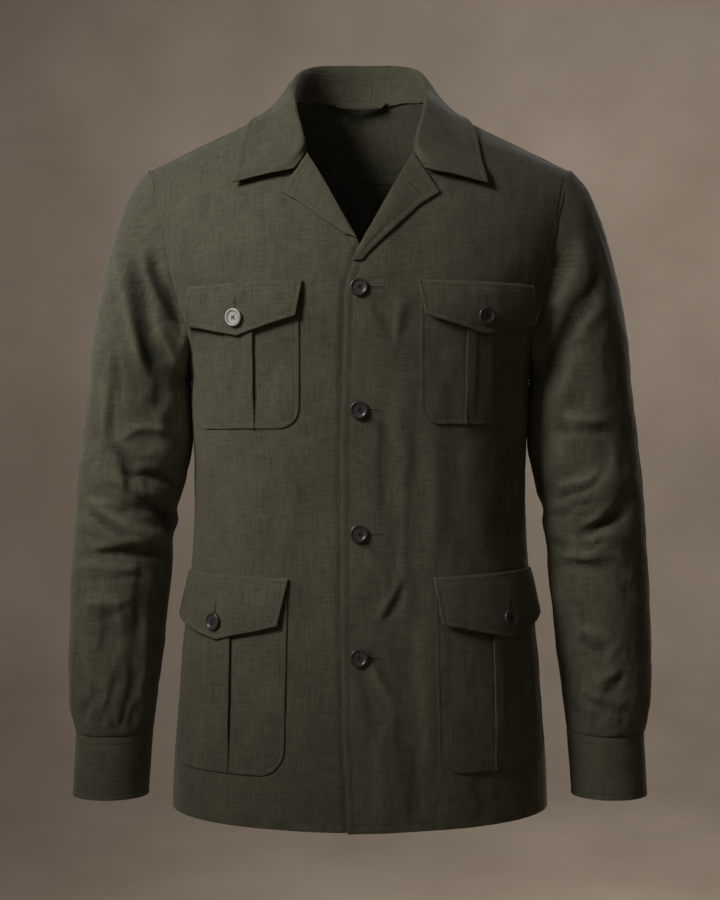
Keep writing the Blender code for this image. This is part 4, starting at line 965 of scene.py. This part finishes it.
pocket_seams = []
for pocket in POCKETS:
    front = grounds["front_left" if pocket.side > 0 else "front_right"]
    inner_edge, outer_edge = pocket.centre - pocket.width / 2, pocket.centre + pocket.width / 2
    inner_fold = pocket.width / 2 + pocket.pleat_centre - pocket.centre - pocket.pleat / 2
    profile = pocket_profile(pocket.width, inner_fold, inner_fold + pocket.pleat)
    shares = spread(1.0, 0.018, 0.09, 0.0, 0.012)
    tall = pocket.top - pocket.bottom
    spots = np.empty((len(shares), len(profile), 3))
    girths, heights = np.empty(spots.shape[:2]), np.empty(spots.shape[:2])
    for c, (place, full) in enumerate(profile):
        near = max(pocket.corner - min(place, pocket.width - place), 0.0) / pocket.corner
        foot = pocket.bottom + pocket.corner * (1 - math.sqrt(max(1 - min(near, 1.0) ** 2, 0.0)))
        standing = INNER_PLEAT_LIFT if place < inner_fold + 0.012 else PLEAT_LIFT
        for r, share in enumerate(shares):
            height = foot + (pocket.top - foot) * share
            girth = pocket.side * (inner_edge + place + pocket.lean * (1 - share))
            border = min(place, pocket.width - place, height - foot)
            lift = POCKET_SEAT + ease(-0.05, 0.30, share) * standing * full
            lift += float(stitched(np.array(border), POCKET_STITCH, 0.0003, 0.0004))
            lift += 0.0006 * float(ease(0.0, 0.03, border)) * (0.6 + 0.4 * math.sin(place * 90 + share * 5))
            spots[r, c] = on_cloth(front, girth, height, lift)[0]
            girths[r, c], heights[r, c] = girth, height
    fine = 0.00025 * rumple(girths, heights, 0.018, 71.0 + pocket.centre)
    creased = pressed(spots[..., 0] * pocket.side, spots[..., 2], POCKET_CREASES)
    spots += FORWARD * (fine + creased)[..., None]
    steps = np.hypot(np.diff(profile[:, 0]), np.diff(profile[:, 1]) * PLEAT_LIFT)
    cut = np.broadcast_to(pocket.side * np.insert(np.cumsum(steps), 0, 0.0), girths.shape)
    spots, cut, heights, fine, girths = flip(pocket.side > 0, spots, cut, heights, fine, girths)
    piece = lay_cloth(
        "linen_" + pocket.name, spots, cut, heights, POCKET_WALL,
        linen("linen_" + pocket.name, offset=(pocket.centre * 9, 0.4)), pocket.name,
        fold=fine * FOLD_SHADE, edge=0.0003)
    start, end, low = inner_edge + POCKET_STITCH, outer_edge - POCKET_STITCH, pocket.bottom + POCKET_STITCH
    radius, bends = pocket.corner - POCKET_STITCH * 0.6, np.linspace(0, math.pi / 2, 7)
    path = [(start, pocket.top - 0.004)]
    path += [(start + radius * (1 - math.cos(a)), low + radius * (1 - math.sin(a))) for a in bends]
    path += [(end - radius * (1 - math.sin(a)), low + radius * (1 - math.cos(a))) for a in bends]
    path.append((end, pocket.top - 0.004))
    path = [(pocket.side * (g + pocket.lean * (pocket.top - z) / tall), z) for g, z in path]
    pocket_seams.append((chart_of(spots, girths, heights), path))
sew("stitches_pockets", pocket_seams)

# ------------------------------------------------------------------ flaps
# Pointed two-layer flaps, sewn down above the pockets and topstitched all round, with a second row
# along the seam. They stand off the pockets a little, so a dark gap shows under their free edges.
Flap = namedtuple("Flap", "name side top_in top_out bottom_in bottom_out point")
FLAPS = [
    Flap("flap_chest_right", -1, (0.0556, -0.1754), (0.1800, -0.1778),
         (0.0616, -0.2105), (0.1895, -0.2137), (0.1215, -0.2276)),
    Flap("flap_chest_left", 1, (0.0556, -0.1751), (0.1836, -0.1760),
         (0.0627, -0.2091), (0.1895, -0.2128), (0.1237, -0.2265)),
    Flap("flap_lower_right", -1, (0.0699, -0.4668), (0.2150, -0.4636),
         (0.0790, -0.5136), (0.2270, -0.5120), (0.1465, -0.5294)),
    Flap("flap_lower_left", 1, (0.0716, -0.4655), (0.2160, -0.4610),
         (0.0791, -0.5122), (0.2300, -0.5100), (0.1535, -0.5285)),
]
FLAP_LIFTS = [(0.0, 0.0092), (0.28, 0.0079), (0.56, 0.0064), (0.80, 0.0050), (0.93, 0.0036), (1.0, 0.0022)]
FLAP_STITCH = 0.0048
FLAP_SEAM_STITCH = 0.0050
FLAP_GRID, FLAP_FINE_GRID = 0.0022, 0.0011
FLAP_WALL = 0.0018


def mix(start, end, share):
    return tuple(a + (b - a) * share for a, b in zip(start, end))


flap_charts, flap_seams = {}, []
for number, flap in enumerate(FLAPS):
    front = grounds["front_left" if flap.side > 0 else "front_right"]
    width = flap.top_out[0] - flap.top_in[0]
    tall = flap.top_in[1] - flap.bottom_in[1]
    half = spread(0.5, FLAP_GRID / width, 0.007 / width, 0.0, FLAP_FINE_GRID / width)
    columns = np.concatenate([half, (1 - half[:-1])[::-1]])
    shares = spread(1.0, FLAP_GRID / tall, 0.007 / tall, 0.009 / tall, FLAP_FINE_GRID / tall)
    spots = np.empty((len(shares), len(columns), 3))
    girths, heights, puffs = (np.empty(spots.shape[:2]) for _ in range(3))
    for c, across in enumerate(columns):
        top = mix(flap.top_in, flap.top_out, across)
        if across <= 0.5:
            foot = mix(flap.bottom_in, flap.point, across * 2)
        else:
            foot = mix(flap.point, flap.bottom_out, across * 2 - 1)
        drop = top[1] - foot[1]
        for r, share in enumerate(shares):
            girth, z = mix(foot, top, share)
            border = np.array(min(across * width, (1 - across) * width, share * drop))
            puff = float(stitched(border, FLAP_STITCH, 0.0003, 0.0004)
                         + stitched(np.array((1 - share) * drop), FLAP_SEAM_STITCH, 0.0003, 0.0004))
            lift = float(np.interp(share, *zip(*FLAP_LIFTS)))
            lift -= 0.0012 * (1 - min(1.0, border / 0.02)) * (1 - share)
            girths[r, c], heights[r, c], puffs[r, c] = flap.side * girth, z, puff
            spots[r, c] = on_cloth(front, flap.side * girth, z, lift + puff)[0]
    fine = 0.00035 * rumple(girths, heights, 0.020, 81.0 + number)
    spots += FORWARD * fine[..., None]
    grid = flip(flap.side > 0, spots, girths, heights, puffs + fine)
    chart = flap_charts[flap.name] = chart_of(*grid[:3])
    piece = lay_cloth(
        "linen_" + flap.name, *grid[:3], FLAP_WALL,
        linen("linen_" + flap.name, offset=(number * 0.37, 0.1)),
        flap.name, fold=grid[3] * FOLD_SHADE, edge=0.0006)
    path = [
        (mix(flap.top_in, flap.bottom_in, 0.1)[0] + FLAP_STITCH, flap.top_in[1] - 0.006),
        (flap.bottom_in[0] + FLAP_STITCH, flap.bottom_in[1] + FLAP_STITCH * 0.75),
        (flap.point[0], flap.point[1] + FLAP_STITCH * 1.02),
        (flap.bottom_out[0] - FLAP_STITCH, flap.bottom_out[1] + FLAP_STITCH * 0.75),
        (mix(flap.top_out, flap.bottom_out, 0.1)[0] - FLAP_STITCH, flap.top_out[1] - 0.006),
    ]
    top_row = [mix(flap.top_in, flap.top_out, share) for share in (0.012, 0.988)]
    flap_seams.append((chart, [(flap.side * g, z) for g, z in path]))
    flap_seams.append((chart, [(flap.side * g, z - FLAP_SEAM_STITCH) for g, z in top_row]))
sew("stitches_flaps", flap_seams)

# ------------------------------------------------------------------ topstitching of the body
# Rows of tonal stitches hold the facings, hems, collar, lapels, armholes, back seams and cuffs.
# Each is laid beside the edge or seam that it follows, on the cut of the piece it goes through.
EDGE_TOP = {"front_left": -0.150, "front_right": -0.160}    # where a front's edge meets its lapel
ARMHOLE_STITCH = 0.0078
STAND_STITCHES = (0.0300, 0.0345, 0.0390)
NECK_STITCH = 0.0022


def beside(path, across=0.0, up=0.0):
    return [(a + across, b + up) for a, b in path]


def level(up, reach, count):
    return [(across, up) for across in np.linspace(-reach, reach, count)]


runs = []
for node, side in (("front_left", 1), ("front_right", -1)):
    facing = FACING_WIDTH[node]
    edge = [spot for spot in front_edges[node] if spot[1] < EDGE_TOP[node]]
    hem = [spot for spot in hems[node] if abs(spot[0]) > facing]
    facing_hem = [spot for spot in hems[node] if abs(spot[0]) < facing and side * spot[0] > 0.002]
    foot = np.interp(facing, np.abs(hems[node][:, 0]), hems[node][:, 1])
    armhole = [spot for spot in side_seams[node] if spot[1] > ARMHOLE_LOW]
    runs += [(fronts[node], path) for path in (
        beside(edge, side * FRONT_STITCH),
        beside(hem, 0.0, HEM_DEPTH),
        beside(facing_hem, 0.0, FACING_HEM),
        [(side * facing, foot + 0.004), (side * facing, foot + HEM_DEPTH)],
        beside(armhole, -side * ARMHOLE_STITCH),
    )]
for node, side in (("back_left", 1), ("back_right", -1)):
    runs.append((backs[node], beside(hems[node], 0.0, HEM_DEPTH)))
    runs.append((backs[node], beside(centre_seams[node], side * BACK_SEAM_STITCH)))
sew("stitches_body", runs + [(yoke, yoke_rim)])

runs = [(collar, collar_path)] + [(lapels[node], path) for node, path in lapel_paths.items()]
runs += [(collar, level(up, 0.078, 40)) for up in STAND_STITCHES]
sew("stitches_collar", runs + [(collar, level(NECK_STITCH, 0.150, 60))])

runs = []
for node in ("cuff_left", "cuff_right"):
    low, high = min(v.y for v in sleeves[node].flat), max(v.y for v in sleeves[node].flat)
    for height in (low + CUFF_EDGE_STITCH, *(high - below for below in CUFF_TOP_STITCHES)):
        runs.append((sleeves[node], level(height, 0.122, 60)))
sew("stitches_cuffs", runs)

# ------------------------------------------------------------------ hanger loop and inside seams
# A folded tape of the same linen is caught in the neck seam as a loop. The seam between back and
# yoke and the centre back seam are felled, so each shows inside as a flat double band.
# The felled bands are coloured a little lighter than the rest of the linen.
LIGHTER_BAND_OLIVE = (0.125, 0.120, 0.083, 1.0)
LOOP_WALL, BAND_WALL = 0.0012, 0.0006
across = np.linspace(-0.0300, 0.0300, 40)
rows = []
for share in np.linspace(0.0, 1.0, 6):
    reach = across * (0.80 + 0.20 * share)
    hang = 0.0010 * np.cos(across * 52) * (1.2 - share)
    forward = 0.0022 + 0.0016 * np.cos(across * 52) * math.sin(math.pi * (0.15 + 0.7 * share))
    rows.append(np.stack(
        [reach, 0.0880 - 9.5 * reach**2 - forward, 0.0340 + 0.0066 * share - hang], axis=1))
points = np.array(rows)
piece = lay_cloth(
    "linen_hanger_loop", points, points[..., 0], points[..., 2], LOOP_WALL,
    linen("linen_hanger_loop", slub=0.6 * SLUB), "hanger_loop", edge=0.0005)


def inside_band(name, chart, path, half, offset):
    """A felled seam on the inner face: a flat band along a path given on the cut."""
    path = np.asarray(path, float)
    way = np.gradient(path, axis=0)
    way /= np.linalg.norm(way, axis=1, keepdims=True)
    side = np.stack([-way[:, 1], way[:, 0]], axis=1)
    shares = np.array([-1.0, -0.86, -0.5, 0.0, 0.5, 0.86, 1.0])
    flat = path[None] + side[None] * (half * shares)[:, None, None]
    depth = LINEN_WALL + 0.0007 + 0.0003 * np.cos(shares * math.pi * 0.5)
    spots = np.array([[on_cloth(chart, u, v, -d)[0] for u, v in line] for line, d in zip(flat, depth)])
    middle = len(path) // 2
    outward = on_cloth(chart, *path[middle])[1]
    grid = flip(Vector(normals_of(spots)[3, middle]).dot(outward) < 0, spots, flat[..., 0], flat[..., 1])
    piece = lay_cloth(
        name, *grid, BAND_WALL, linen(name, colour=LIGHTER_BAND_OLIVE, offset=(offset, 0.9)), edge=0.0002)


for node, side in (("back_left", 1), ("back_right", -1)):
    foot, head = centre_seams[node][0, 1] + 0.002, centre_seams[node][-1, 1] - 0.001
    path = [(side * 0.0055, z) for z in np.linspace(foot, head, 90)]
    inside_band("felled_centre_" + node, backs[node], path, 0.0049, side * 0.4)
inside_band("felled_yoke", yoke, [(a, b + 0.0012) for a, b in yoke_rim[::2] if abs(a) < 0.15], 0.0050, 0.6)

# ------------------------------------------------------------------ buttons and buttonholes
# Four-hole buttons turned from dark horn, with a raised rim and a dished middle, sewn with crossed
# thread. The one on the right chest is the same horn painted pale grey, a painted highlight, with a
# painted shade ring in the groove inside its rim. Buttonholes are whipped in thread.
BUTTON_PROFILE = [
    (0.0, 0.0021), (0.0036, 0.00205), (0.0050, 0.0020), (0.0058, 0.0021), (0.0064, 0.0027),
    (0.0070, 0.0032), (0.0077, 0.0033), (0.0084, 0.0030), (0.0089, 0.0023), (0.0090, 0.0016),
    (0.0086, 0.0007), (0.0076, 0.0001), (0.0, 0.0),
]
HOLES = [(x * 0.00155, y * 0.00155) for x in (-1, 1) for y in (-1, 1)]
HOLE_RADIUS = 0.00072
BUTTON_SEAT = 0.0005
FRONT_BUTTON_ACROSS = -0.0010
FRONT_BUTTONS = [(-0.1830, 0.10), (-0.3020, -0.35), (-0.4230, 0.22), (-0.5430, 0.55)]


def horn(name, light, dark, rim_tone_and_groove_shade, rough):
    """Polished horn with drawn-out streaks, and a ring in a set tone: the rim's own tone on the dark
    buttons, painted shade in the groove on the pale one.
    """
    polished, streak, tint, shader = mottled(
        name, {"Coat Weight": 0.35, "Coat Roughness": 0.18, "Specular IOR Level": 0.5},
        {"Scale": 1.0, "Detail": 5.0, "Distortion": 1.2}, ((0.34, dark), (0.72, light)),
        (900.0, 260.0, 160.0))
    nodes, links = polished.node_tree.nodes, polished.node_tree.links
    ring = nodes.new("ShaderNodeAttribute")
    ring.attribute_name = "rim"
    ringed = nodes.new("ShaderNodeMix")
    ringed.data_type = "RGBA"
    ringed.inputs[7].default_value = (*rim_tone_and_groove_shade, 1.0)
    worn = nodes.new("ShaderNodeMapRange")
    give(worn, {"To Min": rough, "To Max": rough + 0.16})
    links.new(ring.outputs["Fac"], ringed.inputs[0])
    links.new(tint.outputs["Color"], ringed.inputs[6])
    links.new(ringed.outputs[2], shader.inputs["Base Color"])
    links.new(streak.outputs["Fac"], worn.inputs["Value"])
    links.new(worn.outputs["Result"], shader.inputs["Roughness"])
    return polished


dark_horn = horn("dark_horn", (0.110, 0.100, 0.096), (0.034, 0.031, 0.031), (0.060, 0.055, 0.054), 0.26)
# The pale horn is the dark buttons' horn painted pale grey all over: a painted highlight.
pale_horn = horn("pale_horn", (0.74, 0.74, 0.70), (0.52, 0.52, 0.48), (0.020, 0.019, 0.018), 0.34)
button_thread = mottled(
    "button_thread", THREAD_LOOK, THREAD_GRAIN,
    ((0.3, (0.010, 0.010, 0.008)), (0.7, (0.030, 0.029, 0.022))))[0]
# A buttonhole's slit is a near-black strip: painted shadow in the opening.
slit = mottled(
    "slit_shadow", {"Roughness": 0.9}, {"Scale": 1200.0},
    ((0.0, (0.004, 0.004, 0.003)), (1.0, (0.022, 0.021, 0.014))))[0]

drill = bmesh.new()
for x, y in HOLES:
    bmesh.ops.create_cone(
        drill, cap_ends=True, segments=14, radius1=HOLE_RADIUS, radius2=HOLE_RADIUS, depth=0.008,
        matrix=Matrix.Translation((x, y, 0.0015)))
blank = add("button_blank", mesh_from("button_blank", turned(BUTTON_PROFILE, 40, 0.00001)))
cutter = add("drill", mesh_from("drill", drill))
bore = blank.modifiers.new("holes", "BOOLEAN")
bore.operation = "DIFFERENCE"
bore.solver = "EXACT"
bore.object = cutter
drilled = bpy.data.meshes.new_from_object(blank.evaluated_get(bpy.context.evaluated_depsgraph_get()))
for tool in (blank, cutter):
    shape = tool.data
    bpy.data.objects.remove(tool)
    bpy.data.meshes.remove(shape)


def seat_button(name, chart, across, up, turn, pale=False):
    """A button on its cloth, and the crossed thread that holds it."""
    seat, out = on_cloth(chart, across, up, BUTTON_SEAT)
    stand = Matrix.Translation(seat) @ out.to_track_quat("Z", "Y").to_matrix().to_4x4()
    stand = stand @ Matrix.Rotation(turn, 4, "Z")
    mesh = drilled.copy()
    from_middle = np.array([math.hypot(v.co.x, v.co.y) for v in mesh.vertices])
    ring = ease(0.0056, 0.0063, from_middle)
    # On the pale button the ring is a thin line of painted shade in the groove inside its rim.
    if pale:
        ring = np.where(abs(from_middle - 0.0064) < 0.0003, 1.0, 0.0)
    mesh.attributes.new("rim", "FLOAT", "POINT").data.foreach_set("value", ring)
    mesh.transform(stand)
    mesh.shade_smooth()
    mesh.set_sharp_from_angle(angle=math.radians(38))
    mesh.materials.clear()
    mesh.materials.append(pale_horn if pale else dark_horn)
    piece = add("horn_" + name, mesh)
    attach(piece, "root")
    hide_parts(name)
    stands, upright = [], Vector((0, 0, 1))
    for x, y in HOLES[:2]:
        way = Vector((-x, -y, 0.0)) - Vector((x, y, 0.0))
        side = way.cross(upright).normalized()
        for shift in (-0.00022, 0.00022):
            lay = Matrix((way / 2 * 1.1, side * 0.00026, upright * 0.00034)).transposed().to_4x4()
            lay.translation = Vector((0.0, 0.0, 0.0022)) + side * shift
            stands.append(stand @ lay)
    finish_thread("thread_" + name, stands, button_thread)


for number, (height, turn) in enumerate(FRONT_BUTTONS, 1):
    seat_button("button_front_%d" % number, grounds["front_left"], FRONT_BUTTON_ACROSS, height, turn)
buttonholes = [(grounds["front_left"], (0.0040, z), (0.0205, z)) for z, _ in FRONT_BUTTONS]
for place, side, across, height, turn, low, high in (
    ("chest_right", -1, 0.1228, -0.2101, 0.0, -0.2085, -0.1925),
    ("chest_left", 1, 0.1235, -0.2083, 0.4, -0.2070, -0.1905),
    ("lower_right", -1, 0.1482, -0.5117, 0.2, -0.5100, -0.4925),
    ("lower_left", 1, 0.1536, -0.5091, -0.3, -0.5075, -0.4905),
):
    chart, across = flap_charts["flap_" + place], side * across
    seat_button("button_" + place, chart, across, height, turn, pale=place == "chest_right")
    buttonholes.append((chart, (across, low), (across, high)))
lapel = lapels["lapel_left"]
ends = [
    min(range(len(lapel.flat)), key=lambda i: math.hypot(lapel.points[i][0] - x, lapel.points[i][2] - z))
    for x, z in ((0.0475, -0.0769), (0.0574, -0.0878))
]
buttonholes.append((lapel, *(lapel.flat[i][:2] for i in ends)))
whipping, slits = [], []
for chart, start, end in buttonholes:
    start, end = np.array(start), np.array(end)
    long = np.linalg.norm(end - start)
    way = (end - start) / long
    side = np.array([-way[1], way[0]])
    bed_stitch(slits, chart, start, end, 0.00040, 0.00010)
    for at in np.arange(0.0, long + 0.0003, 0.0006):
        for hand in (-1, 1):
            root = start + way * at + side * hand * 0.0004
            bed_stitch(whipping, chart, root, root + side * hand * 0.0012, 0.00030, 0.00018)
    for hand in (-1, 0, 1):
        root = end + way * 0.0004 + side * hand * 0.0008
        bed_stitch(whipping, chart, root, root + way * 0.0014, 0.00034, 0.00018)
finish_thread("whipped_buttonholes", whipping, thread)
finish_thread("buttonhole_slits", slits, slit)
